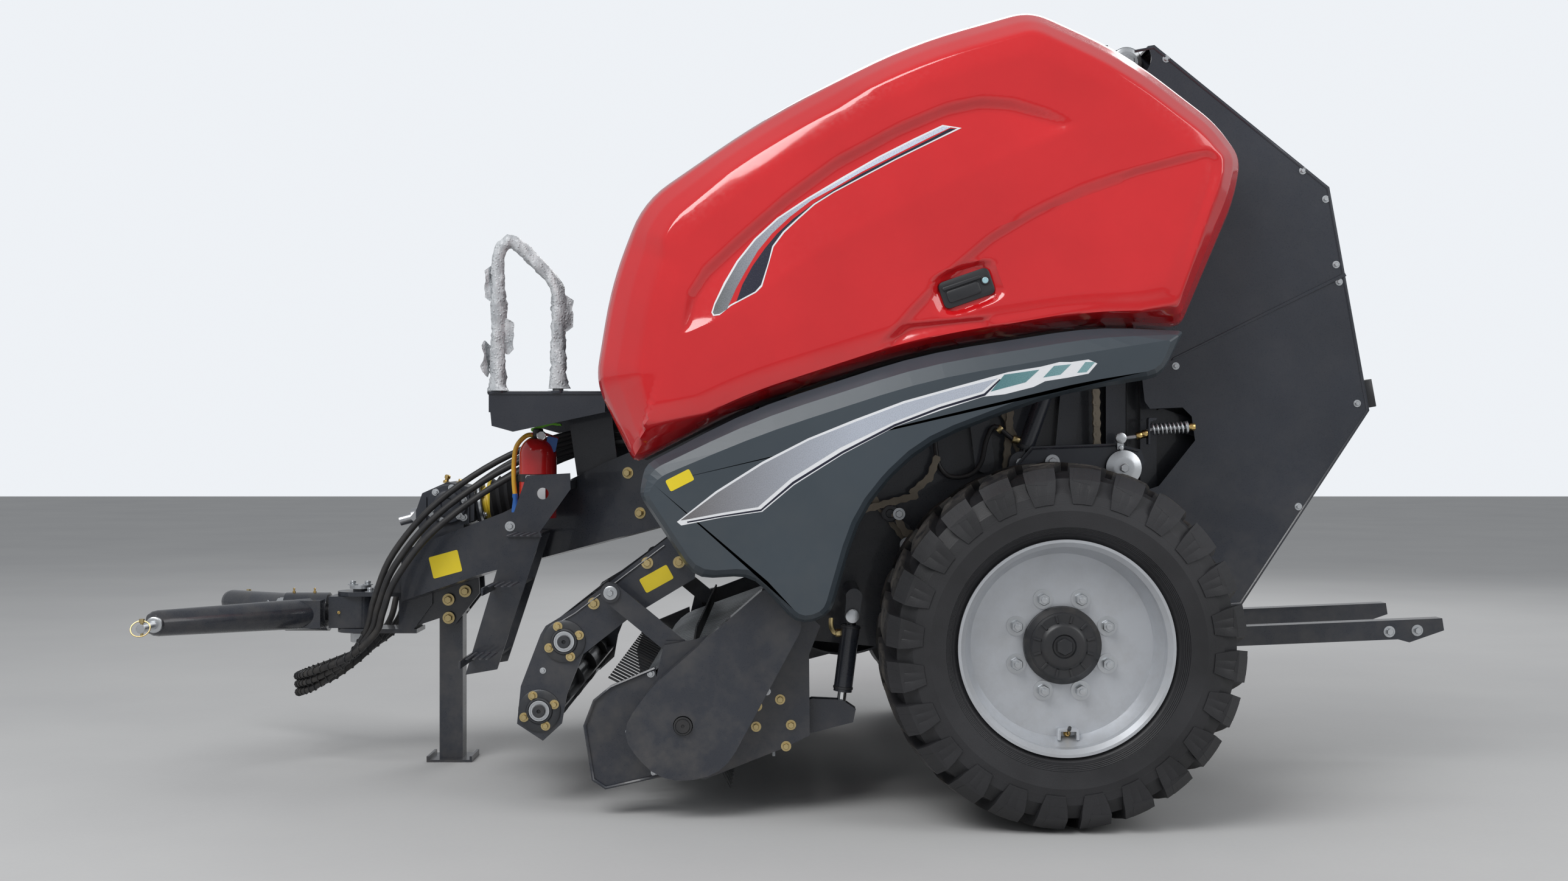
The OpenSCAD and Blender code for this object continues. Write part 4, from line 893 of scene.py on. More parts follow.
def resample(outline, count):
    """The outline again, at count even distances."""
    ring = np.array(outline + outline[:1], dtype=float)
    run = np.concatenate([[0], np.cumsum(np.hypot(*np.diff(ring[:, :2], axis=0).T))])
    at = np.linspace(0, run[-1], count, endpoint=False)
    return np.stack([np.interp(at, run, ring[:, k]) for k in range(ring.shape[1])], axis=1)


def edge_distance(points, outline, values=None):
    """Distance of each point from an outline, and the value interpolated at the nearest place."""
    best = np.full(len(points), 1e9)
    found = np.zeros(len(points))
    count = len(outline)
    for i in range(count):
        a, b = np.array(outline[i][:2], float), np.array(outline[(i + 1) % count][:2], float)
        way = b - a
        t = np.clip(((points - a) @ way) / max(way @ way, 1e-9), 0, 1)
        gap = np.hypot(*(points - a - t[:, None] * way).T)
        near = gap < best
        best = np.where(near, gap, best)
        if values is not None:
            value = values[i] * (1 - t) + values[(i + 1) % count] * t
            found = np.where(near, value, found)
    return best, found


def line_distance(points, line):
    """Distance of each point from an open line."""
    return np.min([edge_distance(points, (a, b))[0] for a, b in zip(line, line[1:])], axis=0)


def inside(points, outline):
    """True for each point inside an outline."""
    within = np.zeros(len(points), bool)
    count = len(outline)
    for i in range(count):
        (x1, z1), (x2, z2) = outline[i][:2], outline[(i + 1) % count][:2]
        crosses = (z1 > points[:, 1]) != (z2 > points[:, 1])
        slope = (x2 - x1) / (z2 - z1) if z2 != z1 else 0.0
        within ^= crosses & (points[:, 0] < slope * (points[:, 1] - z1) + x1)
    return within


def ease(t):
    """A smooth step from 0 to 1."""
    t = np.clip(t, 0, 1)
    return t * t * (3 - 2 * t)


DOOR_OUTLINE = soft_outline(DOOR_CORNERS, 6)


def door_depth(points):
    """How far the door's skin lies behind its face at each (x, z) point, in millimetres."""
    points = np.asarray(points, float)
    gap, inset = edge_distance(points, DOOR_OUTLINE, np.array([c[2] for c in DOOR_OUTLINE]))
    share = gap / inset
    depth = np.interp(share, [0, 0.06, 0.14, 0.5, 0.9, 1.0], [DOOR_WALL, 136, 116, 64, 19, 10])
    depth = np.where(share > 1, 10 * (1 - np.clip((gap - inset) / 60, 0, 1)) ** 1.4, depth)
    face = ease((gap - inset) / 30)

    valley = inside(points, DOOR_VALLEY)
    crease = DOOR_VALLEY[11:] + DOOR_VALLEY[:1]
    lower = line_distance(points, crease)
    upper = line_distance(points, DOOR_VALLEY[:12])
    sunk = VALLEY_DEPTH * ease(upper / 34) * np.clip(lower / (lower + upper + 1e-6) * 1.25, 0, 1)
    depth = depth + np.where(valley, sunk, 0) * ease((gap - inset * 0.5) / 60)

    step = inside(points, DOOR_STEP)
    edge = line_distance(points, DOOR_STEP[:10])
    sunk = STEP_DEPTH * ease(edge / 30) * (1 - 0.85 * np.clip(edge / 330, 0, 1))
    depth = depth + np.where(step, sunk, 0) * face

    notch = inside(points, DOOR_NOTCH)
    edge = line_distance(points, DOOR_NOTCH[:6])
    depth = depth + np.where(notch, NOTCH_DEPTH * ease(edge / 16), 0) * ease(gap / 40)

    dx, dz = (points - LATCH).T
    along = dx * math.cos(LATCH_TILT) + dz * math.sin(LATCH_TILT)
    across = -dx * math.sin(LATCH_TILT) + dz * math.cos(LATCH_TILT)
    reach = (np.abs(along / LATCH_RECESS[0]) ** 4 + np.abs(across / LATCH_RECESS[1]) ** 4) ** 0.25
    return depth + LATCH_DEPTH * ease((1 - reach) / 0.22)


# Grid of the door's skin: columns round its outline, rows inwards, and the line that they end on
DOOR_AROUND = 340
DOOR_INWARDS = 66
DOOR_SPINE = ((-230, 1400), (900, 1800))


def door_skin():
    """The left door: a grid wrapped round the outline, drawn in to a spine and pressed to its depths."""
    clear_selection()
    walls = (DOOR_RIM, DOOR_RIM + 14, DOOR_RIM + 60, DOOR_FACE - DOOR_WALL - 40)
    rows = DOOR_INWARDS + len(walls)
    bpy.ops.mesh.primitive_grid_add(x_subdivisions=DOOR_AROUND, y_subdivisions=rows - 1, size=2)
    piece = bpy.context.object
    ring = resample(DOOR_OUTLINE, DOOR_AROUND)[:, :2]
    ring = np.vstack([ring, ring[:1]])
    a, b = (np.array(end, float) for end in DOOR_SPINE)
    way = b - a
    t = np.clip(((ring - a) @ way) / (way @ way), 0, 1)
    spine = a + t[:, None] * way
    shares = (np.arange(DOOR_INWARDS) / (DOOR_INWARDS - 1)) ** 1.35
    flat = ring[None] + (spine - ring)[None] * shares[:, None, None]
    depth = door_depth(flat.reshape(-1, 2)).reshape(DOOR_INWARDS, -1)
    y = DOOR_FACE - depth
    coords = np.array([v.co[:2] for v in piece.data.vertices])
    column = np.rint((coords[:, 0] + 1) / 2 * DOOR_AROUND).astype(int)
    row = np.rint((coords[:, 1] + 1) / 2 * (rows - 1)).astype(int)
    place = np.empty((len(coords), 3))
    for k in range(len(coords)):
        i, j = column[k], row[k]
        if j < len(walls):
            place[k] = (ring[i][0], -walls[j], ring[i][1])
        else:
            j -= len(walls)
            place[k] = (flat[j, i, 0], -y[j, i], flat[j, i, 1])
    piece.data.vertices.foreach_set("co", (place * MM).ravel())
    piece.data.update()
    bpy.ops.object.mode_set(mode="EDIT")
    bpy.ops.mesh.select_all(action="SELECT")
    bpy.ops.mesh.remove_doubles(threshold=0.0002)
    bpy.ops.mesh.normals_make_consistent(inside=False)
    bpy.ops.object.mode_set(mode="OBJECT")
    face_left(piece)
    return apply_modifier(piece, "SOLIDIFY", "Skin", thickness=DOOR_SKIN * MM, offset=-1,
                          use_even_offset=False)


HINGE_X = (500, 727)
HINGE_PIN = (762, 2296)


def hinge_lug(x):
    """One hinge lug of the left door, across the machine."""
    y, z = HINGE_PIN
    outline = ((-y + 13, z + 8), (-y + 13, z - 13), (-DOOR_RIM - 4, z - 74), (-DOOR_RIM - 30, z - 120),
               (-DOOR_RIM - 60, z - 120), (-DOOR_RIM - 40, z - 50), (-y - 6, z + 12))
    piece = plate(outline, x + 13, x + 25, 1.0)
    # The outline was drawn as (x, z) and its depth along Y, and stands across the machine
    piece.data.transform(Matrix(((0, 1, 0, 0), (1, 0, 0, 0), (0, 0, 1, 0), (0, 0, 0, 1))))
    return outwards(piece)


class BALER_OT_doors(bpy.types.Operator):
    """Builds the pressed side doors with their valley, steps, latch recess and hinge lugs"""

    bl_idname = "baler.doors"
    bl_label = "Side doors"

    def execute(self, context):
        left = join([door_skin()] + [hinge_lug(x) for x in HINGE_X], "door_skin_left")
        right = named(flip_side(duplicate(left)), "door_skin_right")
        for piece, word in ((left, "left"), (right, "right")):
            dress(piece, "door", "door_" + word, 40)
            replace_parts(piece, "door_" + word)
            self.latch(word)
        return {"FINISHED"}

    def latch(self, word):
        """Black latch in its recess: frame, paddle and the small pale lock."""
        x, z = LATCH
        seat = DOOR_FACE - LATCH_DEPTH - 14
        frame_plate = plate(rounded_box(150, 78, 15), -seat + 14, -seat - 12, 3.0, 2)
        paddle = plate(rounded_box(96, 34, 8), -seat - 11, -seat - 17, 2.5, 2)
        paddle.data.transform(Matrix.Translation(point(-12, 0, -8)))
        lip = plate(rounded_box(112, 10, 4), -seat - 11, -seat - 20, 2.0, 2)
        lip.data.transform(Matrix.Translation(point(-10, 0, 18)))
        ring = boss([(-2, 13), (3, 13), (4.5, 11.5), (4.5, 9)], 56, seat + 11, 4, 24)
        body = join([frame_plate, paddle, lip, ring], "latch_" + word)
        lock = boss([(0, 8.8), (5.5, 8.8), (6.5, 7.4)], 56, seat + 11, 4, 20)
        turn = Matrix.Translation(point(x, 0, z)) @ Matrix.Rotation(-LATCH_TILT, 4, "Y")
        for piece, key in ((body, "plastic"), (named(lock, "latch_lock_" + word), "lock")):
            piece.data.transform(turn)
            if word == "right":
                flip_side(piece)
            dress(piece, key, "door_" + word)


# Stripes on the doors and fairings, as outlines of (x, z) points. The door's stripes share two lines
STRIPE_TOP = (
    (-249, 1436), (-242, 1459), (-213, 1517), (-178, 1578), (-129, 1640), (-65, 1699), (18, 1754), (118, 1812),
    (217, 1870), (317, 1920), (395, 1958),
)
STRIPE_LOW = (
    (364, 1917), (264, 1868), (165, 1816), (90, 1776), (33, 1741), (-11, 1702), (-53, 1663), (-83, 1622),
    (-94, 1577), (-114, 1513), (-131, 1494),
)
DOOR_FIELD = STRIPE_TOP + ((435, 1952),) + STRIPE_LOW + ((-199, 1458), (-230, 1432), (-245, 1430))
DOOR_EDGE = (
    (-253, 1436), (-245, 1462), (-218, 1520), (-183, 1580), (-133, 1643), (-69, 1702), (16, 1758), (115, 1817),
    (215, 1874), (314, 1924), (394, 1962), (447, 1953), (364, 1913), (264, 1864), (165, 1812), (90, 1772),
    (36, 1738), (-9, 1698), (-49, 1660), (-79, 1620), (-91, 1577), (-111, 1508), (-128, 1491), (-198, 1454),
    (-230, 1428), (-248, 1426),
)
DOOR_SILVER = STRIPE_TOP + (
    (417, 1955), (364, 1930), (267, 1881), (167, 1830), (90, 1785), (26, 1750), (-34, 1704), (-84, 1657),
    (-123, 1609), (-156, 1554), (-183, 1505), (-209, 1445), (-230, 1432), (-245, 1430),
)
DOOR_BLACK = (
    (-183, 1466), (-166, 1514), (-138, 1566), (-103, 1616), (-69, 1657), (-24, 1699), (36, 1744), (90, 1780),
    (167, 1825), (267, 1876), (364, 1925), (413, 1951), (432, 1951),
) + STRIPE_LOW
FAIRING_EDGE = (
    (-346, 853), (-238, 938), (-110, 1019), (17, 1084), (145, 1136), (281, 1187), (417, 1225), (537, 1258),
    (569, 1267), (660, 1282), (712, 1295), (744, 1295), (792, 1302), (816, 1291), (792, 1263), (736, 1252),
    (672, 1242), (640, 1226), (561, 1206), (501, 1199), (385, 1162), (257, 1116), (113, 1040), (-23, 954),
    (-110, 881), (-222, 865), (-334, 843),
)
FAIRING_SILVER = (
    (-336, 857), (-235, 933), (-108, 1013), (20, 1079), (148, 1130), (283, 1181), (419, 1219), (541, 1250),
    (497, 1213), (377, 1178), (253, 1129), (105, 1058), (-31, 973), (-122, 894), (-222, 878), (-322, 859),
)
FAIRING_LINE = (
    (-318, 854), (-222, 871), (-114, 888), (-26, 964), (110, 1048), (255, 1123), (381, 1171), (503, 1208),
    (546, 1248), (549, 1246), (506, 1202), (382, 1165), (257, 1117), (112, 1042), (-23, 958), (-113, 883),
    (-222, 867), (-317, 850),
)
FAIRING_TILES = (
    ((521, 1213), (559, 1260), (656, 1274), (618, 1239)),
    ((666, 1252), (696, 1284), (744, 1289), (714, 1260)),
    ((760, 1265), (783, 1295), (810, 1295), (786, 1267)),
)


def foil(outline, face, layer, key, body, name, side):
    """One layer of a stripe, seated on the face; layer counts from the face outwards."""
    step = sizes().stripe / MM * layer
    if face == FAIRING_FACE:
        piece = plate(outline, -face + 0.5, -face - step)
    else:
        piece = pressed_foil(outline, step)
    if side > 0:
        # A right foil's name ends in .001
        flip_side(piece)
        name += ".001"
    return dress(named(piece, name), key, body, 20)


def pressed_foil(outline, step):
    """A foil cut to its outline, divided finely and laid on the door's pressed skin."""
    piece = outline_face(outline, -DOOR_FACE)
    bpy.ops.mesh.quads_convert_to_tris(quad_method="BEAUTY", ngon_method="BEAUTY")
    for _ in range(4):
        bpy.ops.mesh.subdivide(number_cuts=1)
    bpy.ops.object.mode_set(mode="OBJECT")
    flat = np.array([(v.co.x, v.co.z) for v in piece.data.vertices]) / MM
    for vertex, depth in zip(piece.data.vertices, door_depth(flat)):
        vertex.co.y = -(DOOR_FACE - depth + 0.5 + step) * MM
    face_left(piece)
    return apply_modifier(piece, "SOLIDIFY", "Foil", thickness=(0.6 + step) * MM, offset=-1)


class BALER_OT_stripes(bpy.types.Operator):
    """Lays the printed stripes on the doors and the fairings, in layers"""

    bl_idname = "baler.stripes"
    bl_label = "Stripes"

    def execute(self, context):
        for side, word in SIDES:
            for outline, layer, key, part in (
                    (DOOR_EDGE, 1, "white", "border"), (DOOR_FIELD, 1.5, "red_foil", "ground"),
                    (DOOR_SILVER, 2, "silver_foil", "silver"), (DOOR_BLACK, 2.5, "black_foil", "black")):
                foil(outline, DOOR_FACE, layer, key, "door_" + word, f"door_stripe_{part}_{word}", side)
            tiles = [(tile, 2, "teal_foil", f"tile{i}") for i, tile in enumerate(FAIRING_TILES)]
            for outline, layer, key, part in [
                    (FAIRING_EDGE, 1, "white", "border"), (FAIRING_SILVER, 2, "long_foil", "silver"),
                    (FAIRING_LINE, 2, "black_foil", "line")] + tiles:
                foil(outline, FAIRING_FACE, layer, key, "chassis", f"fairing_stripe_{part}_{word}", side)
        return {"FINISHED"}


def on_circle(centre, radius, degrees):
    """A point (x, z) of a circle in the side view."""
    turn = math.radians(degrees)
    return centre[0] + radius * math.cos(turn), centre[1] + radius * math.sin(turn)


def around(centre, radius, count, first=0.0):
    """Points at even angles round a circle in the side view."""
    return [on_circle(centre, radius, first + k * 360 / count) for k in range(count)]


def rounded_box(width, height, corner):
    """Outline of a rectangle with round corners, about its middle."""
    right, top = width / 2 - corner, height / 2 - corner
    return [on_circle(centre, corner, 90 * i + q)
            for i, centre in enumerate(((right, top), (-right, top), (-right, -top), (right, -top)))
            for q in (0, 30, 60, 90)]


# Wheels: the axle, the seats of their pieces left of the middle plane, and the studs
AXLE = (725, 508)
DISC_SEAT = 1130
HUB_SEAT = 1164
STUD_RADIUS = 137.5
STUDS = 8
# Side view of a valve's guard, about the axle
VALVE_GUARD = ((-16, -236), (-16, -262), (-8, -262), (-8, -238), (36, -238), (36, -262), (44, -262), (44, -234),
               (40, -230), (-12, -230))

# Tread of the tyres: their middle plane and the lugs on each half
TREAD_PLANE = 1020
LUGS = 24
# Rows of a lug from the tread's middle to the sidewall: distance from the tyre's middle plane, radius, place
# along the tread, half of its width
LUG_ROWS = ((12, 507.7, 9, 21), (60, 507.7, 31, 29), (110, 507.4, 55, 37), (165, 500.7, 75, 43),
            (205, 495.6, 82, 46), (241.4, 463.8, 86, 47), (247.0, 436.0, 87, 44), (249.6, 398.0, 88, 34))
# Shares of a lug's width, with two grooves between them
LUG_COLUMNS = (0, 0.32, 0.345, 0.37, 0.63, 0.655, 0.68, 1)
LUG_GROOVES = (2, 5)
GROOVE_DEPTH = 5
LUG_DEPTH = 34


def tread_lug(side):
    """One lug about the wheel's middle, on the outer half of the tread (-1) or the inner one (1)."""
    cells = len(LUG_ROWS) - 1
    clear_selection()
    bpy.ops.mesh.primitive_grid_add(x_subdivisions=cells, y_subdivisions=cells, size=1)
    lug = bpy.context.object
    for vertex in lug.data.vertices:
        column, row = (round((c + 0.5) * cells) for c in vertex.co[:2])
        out, radius, middle, half = LUG_ROWS[row]
        if column in LUG_GROOVES and 1 < row < cells:
            radius -= GROOVE_DEPTH
        along = middle + half * (2 * LUG_COLUMNS[column] - 1) * -side
        angle = math.atan2(along, LUG_ROWS[0][1])
        vertex.co = point(radius * math.cos(angle), side * out, radius * math.sin(angle))
    return apply_modifier(lug, "SOLIDIFY", "Height", thickness=LUG_DEPTH * MM, offset=-1)


class BALER_OT_tread(bpy.types.Operator):
    """Widens the tyres' lugs towards the shoulder, grooves them and carries them down the sidewall"""

    bl_idname = "baler.tread"
    bl_label = "Tyre tread"

    def execute(self, context):
        hub = Matrix.Translation(point(AXLE[0], -TREAD_PLANE, AXLE[1]))
        lugs = []
        for side, first in ((-1, 0), (1, math.pi / LUGS)):
            master = tread_lug(side)
            for k in range(LUGS):
                lug = duplicate(master)
                lug.data.transform(hub @ Matrix.Rotation(-first - 2 * math.pi * k / LUGS, 4, "Y"))
                lugs.append(lug)
            bpy.data.objects.remove(master)
        dress_pair(join(lugs, "tread"), "tyre", "wheel_left", "wheel_right", smooth=30)
        return {"FINISHED"}


class BALER_OT_wheel_fittings(bpy.types.Operator):
    """Adds the wheel nuts and studs, the hub caps, the valves with their guards and the hubs' welds"""

    bl_idname = "baler.wheel_fittings"
    bl_label = "Wheel fittings"

    def execute(self, context):
        x, z = AXLE
        nut = join([hex_bolt(sizes().nut, 0.8), rod((0, 0, 24), (0, 0, 40), 17, 12)], "Nut")
        places = [((px, -DISC_SEAT, pz), OUT, 1) for px, pz in around(AXLE, STUD_RADIUS, STUDS, 22.5)]
        dress_pair(copies(nut, places, "wheel_nuts"), "zinc", "wheel_left", "wheel_right")
        cap = boss([(0, 93), (6, 93), (11, 88), (11, 66), (17, 60), (20, 54), (20, 34), (16, 30), (16, 1)],
                   x, HUB_SEAT, z, 40)
        rib = block((-3.5, -3.5, 66), (3.5, 3.5, 88), 1, 1)
        places = [((x, -HUB_SEAT - 11, z), (px, 0, pz), 1) for px, pz in around((0, 0), 1, 12, 15)]
        ribs = copies(rib, places, "ribs")
        centre = copies(hex_bolt(0.044, 0.3, washer=False), [((x, -HUB_SEAT - 15, z), OUT, 1)], "centre")
        dress_pair(join([cap, ribs, centre], "hub_cap"), "plastic", "wheel_left", "wheel_right")
        stem = swept([(x + 14, -1132, z - 247), (x + 14, -1148, z - 246), (x + 14, -1162, z - 240),
                      (x + 14, -1176, z - 230)], 8)
        base = boss([(0, 10), (4, 10), (6, 7), (12, 6)], x + 14, 1131, z - 247, 16)
        dress_pair(join([stem, base], "valve"), "brass", "wheel_left", "wheel_right")
        tip = rod((x + 14, -1173, z - 232), (x + 14, -1186, z - 223), 10.5, 12)
        dress_pair(named(tip, "valve_cap"), "rubber", "wheel_left", "wheel_right")
        guard = plate([(x + px, z + pz) for px, pz in VALVE_GUARD], -DISC_SEAT, -DISC_SEAT - 36, 1.5)
        dress_pair(named(guard, "valve_guard"), "rim", "wheel_left", "wheel_right")
        weld = boss([(-3, 99), (0, 104), (4, 103), (5, 99)], x, DISC_SEAT, z, 48)
        dress_pair(named(weld, "hub_weld"), "paint", "wheel_left", "wheel_right")
        return {"FINISHED"}


# Bolts. The way that the left drawbar beam's outer side faces
BEAM_OUT = (-0.2924, -0.9563, 0)


def on_beam(x, z):
    """A place on the outer side of the left drawbar beam."""
    return (x, -159.8 - (x + 1314.6) * 0.30573, z), BEAM_OUT


def side_row(y, *spots):
    """Places on a side face that lies y left of the middle plane."""
    return [((x, -y, z), OUT) for x, z in spots]


# Bolt heads of both sides: name, body, finish, width across the flats, and places with their directions
PAIRED_BOLTS = (
    ("beam_bolts", "chassis", "yellow_zinc", 20, [on_beam(-546, 975), on_beam(-506, 848)]),
    ("head_bolts", "chassis", "zinc", 20, [((-1380, -132, 586), UP), ((-1300, -132, 586), UP),
                                           ((-1440, -52, 569), UP)]),
    ("arm_bolts", "press_arms", "yellow_zinc", 19, side_row(862, (-451, 719), (-608, 600), (-358, 721))),
    ("stand_bolts", "chassis", "yellow_zinc", 22, side_row(74, (-1174, 545), (-1173, 484), (-1118, 573))),
    ("axle_bolts", "chassis", "zinc", 24, side_row(622, (655, 668), (795, 668), (668, 620), (782, 620))),
    ("gate_rivets", "tailgate", "zinc", 12,
     side_row(745, (1094, 2221), (1503, 1886), (1572, 1801), (1603, 1605), (1612, 1553), (1666, 1189),
              (1123, 1301), (1490, 880))),
    ("pickup_plate_bolts", "pickup", "yellow_zinc", 16,
     side_row(983, (-130, 257), (-30, 262), (-61, 335), (-127, 316), (-44, 201))),
    ("pickup_plate_nuts", "pickup", "zinc", 12,
     side_row(983, (-99, 358), (-432, 409), (-494, 242), (-421, 126))),
    ("ramp_bolts", "bale_ramp", "zinc", 20, side_row(315, (1340, 460), (1400, 440), (1900, 462), (1990, 466))),
)
LEFT_BOLTS = (
    ("ladder_bolts", "chassis", "zinc", 17, side_row(568, (-896, 813))),
)


def bolt_group(name, body, key, width, places, both):
    piece = copies(hex_bolt(width * MM), [(place, direction, 1) for place, direction in places], name)
    (dress_pair if both else dress)(piece, key, body)


class BALER_OT_bolts(bpy.types.Operator):
    """Adds the bolts and rivets of the drawbar, stand, axle, tailgate, pickup, ramp and ladder"""

    bl_idname = "baler.bolts"
    bl_label = "Bolts"

    def execute(self, context):
        share = sizes().bolt / FRAME_BOLT
        for name, body, key, width, places in PAIRED_BOLTS:
            bolt_group(name, body, key, width * share, places, True)
        for name, body, key, width, places in LEFT_BOLTS:
            bolt_group(name, body, key, width * share, places, False)
        return {"FINISHED"}


# Blank labels: name, body, width, height, middle, turn about the upright, tilt, finish, on both sides
LABELS = (
    ("fairing_label", "chassis", 74, 34, (-338, -FAIRING_FACE, 968), 0, 27, "label", True),
    ("beam_label", "chassis", 108, 72, on_beam(-1160, 672)[0], -17, 15, "label", True),
    ("arm_label", "press_arms", 92, 46, (-424, -862, 672), 0, 29, "label", False),
    ("bottle_label", "chassis", 62, 78, (-829, -479.4, 930), 0, 0, "white", False),
    ("hood_plate", "chassis", 90, 60, (-500, -745, 1320), 0, 0, "white", False),
)


class BALER_OT_labels(bpy.types.Operator):
    """Sticks the blank labels to the machine"""

    bl_idname = "baler.labels"
    bl_label = "Blank labels"

    def execute(self, context):
        for name, body, width, height, middle, turn, tilt, key, both in LABELS:
            piece = plate(rounded_box(width, height, 5), 0.3, -0.7, 0.2)
            piece.data.transform(Matrix.Translation(point(*middle)) @ Matrix.Rotation(math.radians(turn), 4, "Z")
                                 @ Matrix.Rotation(-math.radians(tilt), 4, "Y"))
            (dress_pair if both else dress)(named(piece, name), key, body)
        return {"FINISHED"}


# Roller chains
CHAIN_PITCH = 31.75
ARC_STEP = 12
SPROCKET_WIDTH = 10


def link_outline(low, high):
    middle = (low + high) / 2
    return [(-12, low), (-8, low - 9), (8, low - 9), (12, low), (8.5, middle), (12, high), (8, high + 9),
            (-8, high + 9), (-12, high), (-8.5, middle)]


def link_pair():
    """Two links of a roller chain, along Z from the origin, with their side plates, rollers and pins."""
    p = CHAIN_PITCH
    parts = [plate(link_outline(low, low + p), side * inner, side * (inner + 2.2))
             for low, inner in ((0, 9.6), (p, 7.2)) for side in (1, -1)]
    for at in (0, p):
        parts.append(rod((0, -7, at), (0, 7, at), 17, 8, 0))
        parts.append(rod((0, -13, at), (0, 13, at), 9, 8, 0))
    return join(parts, "Links")


def along_path(route, step):
    """Points and directions at even steps along a side view route."""
    out, left = [], 0.0
    for a, b in zip(route, route[1:]):
        way = Vector((b[0] - a[0], 0, b[1] - a[1]))
        run = way.length
        at = left
        while at + step * 0.5 < run + 1e-6:
            out.append((Vector((a[0], 0, a[1])) + way * (at / run), way.normalized()))
            at += step
        left = at - run
    return out


def chain(route, y, name):
    """A roller chain along a side view route, at the distance y left of the middle plane."""
    master = link_pair()
    made = []
    for at, way in along_path(route, 2 * CHAIN_PITCH):
        copy = duplicate(master)
        across = Vector((0, 1, 0)).cross(way)
        turn = Matrix((across, Vector((0, 1, 0)), way)).transposed().to_4x4()
        copy.data.transform(Matrix.Translation(point(at.x, -y, at.z)) @ turn)
        made.append(copy)
    bpy.data.objects.remove(master)
    return join(made, name)


def arc(centre, radius, start, stop):
    """Points along part of a circle in the side view, about ARC_STEP degrees apart."""
    count = max(2, int(abs(stop - start) / ARC_STEP))
    return [on_circle(centre, radius, start + (stop - start) * k / count) for k in range(count + 1)]


def sprocket(centre, radius, y, teeth):
    """A toothed wheel with its hub, on the left side."""
    turn = 360 / teeth
    rim = [on_circle(centre, radius + out, (k + share) * turn)
           for k in range(teeth) for share, out in ((0.0, -5), (0.3, 4), (0.5, 4), (0.8, -5))]
    half = SPROCKET_WIDTH / 2
    wheel = plate(rim, -y + half, -y - half)
    hub = boss([(0, 26), (8, 26), (10, 23), (10, 14), (6, 12), (6, 1)], centre[0], y + half, centre[1], 20)
    return join([wheel, hub], "Sprocket")


# Middle of the bale chamber, the circle of its rollers, and the angles of those with a sprocket
CHAMBER = (772, 1358)
ROLLER_RING = 745
SPROCKETS = (102, 144, 186, 250)
SPROCKET_R = 80


class BALER_OT_chains(bpy.types.Operator):
    """Builds the roller chains: the loop round the sprockets, the strands beside it and the tensioners"""

    bl_idname = "baler.chains"
    bl_label = "Roller chains"

    def execute(self, context):
        centres = [on_circle(CHAMBER, ROLLER_RING, angle) for angle in SPROCKETS]
        loop = []
        for i, here in enumerate(centres):
            before, after = centres[i - 1], centres[(i + 1) % len(centres)]
            enter = math.degrees(math.atan2(here[1] - before[1], here[0] - before[0])) - 90
            leave = math.degrees(math.atan2(after[1] - here[1], after[0] - here[0])) - 90
            while leave < enter:
                leave += 360
            loop += arc(here, SPROCKET_R + 3, enter, leave)
        loop.append(loop[0])
        drive = chain(loop, 665, "roller_chain")
        low = chain([(410, 1023), (390, 968), (318, 904), (215, 876), (140, 858)], 700, "low_chain")
        tail = chain([(285, 852), (326, 785), (318, 735)], 700, "tail_chain")
        rear = chain([(889, 1224), (893, 1020)], 712, "rear_chain")
        middle = chain([(600, 1215), (640, 1110), (668, 1040)], 650, "middle_chain")
        dress(join([drive, low, tail, rear, middle], "roller_chains"), "chain", "chassis", smooth=30)
        wheels = [sprocket((270, 858), 24, 700, 9), sprocket((332, 756), 28, 700, 9),
                  sprocket((100, 800), 72, 700, 21)]
        arm = plate([(238, 874), (252, 888), (330, 820), (345, 770), (322, 762), (306, 808)], -686, -692, 1.0)
        stub = rod((100, -608, 800), (100, -704, 800), 40, 20)
        dress(join(wheels + [arm, stub], "tensioners"), "dark_steel", "chassis", smooth=30)
        nuts = copies(hex_bolt(0.020), [((296, -722, 857), OUT, 1), ((320, -722, 765), OUT, 1.2),
                                        ((100, -710, 800), OUT, 1.3)], "nuts")
        seats = [boss([(0, r), (2, r), (5, r - 3), (5, 1)], sx, 717, sz, 24)
                 for sx, sz, r in ((296, 857, 14), (320, 765, 19))]
        pegs = [rod((sx, -690, sz), (sx, -718, sz), 14, 12) for sx, sz in ((296, 857), (320, 765))]
        dress(join([nuts] + seats + pegs, "tensioner_nuts"), "zinc", "chassis")
        return {"FINISHED"}


# Fire extinguisher beside the ladder
BOTTLE = (-829, -420)


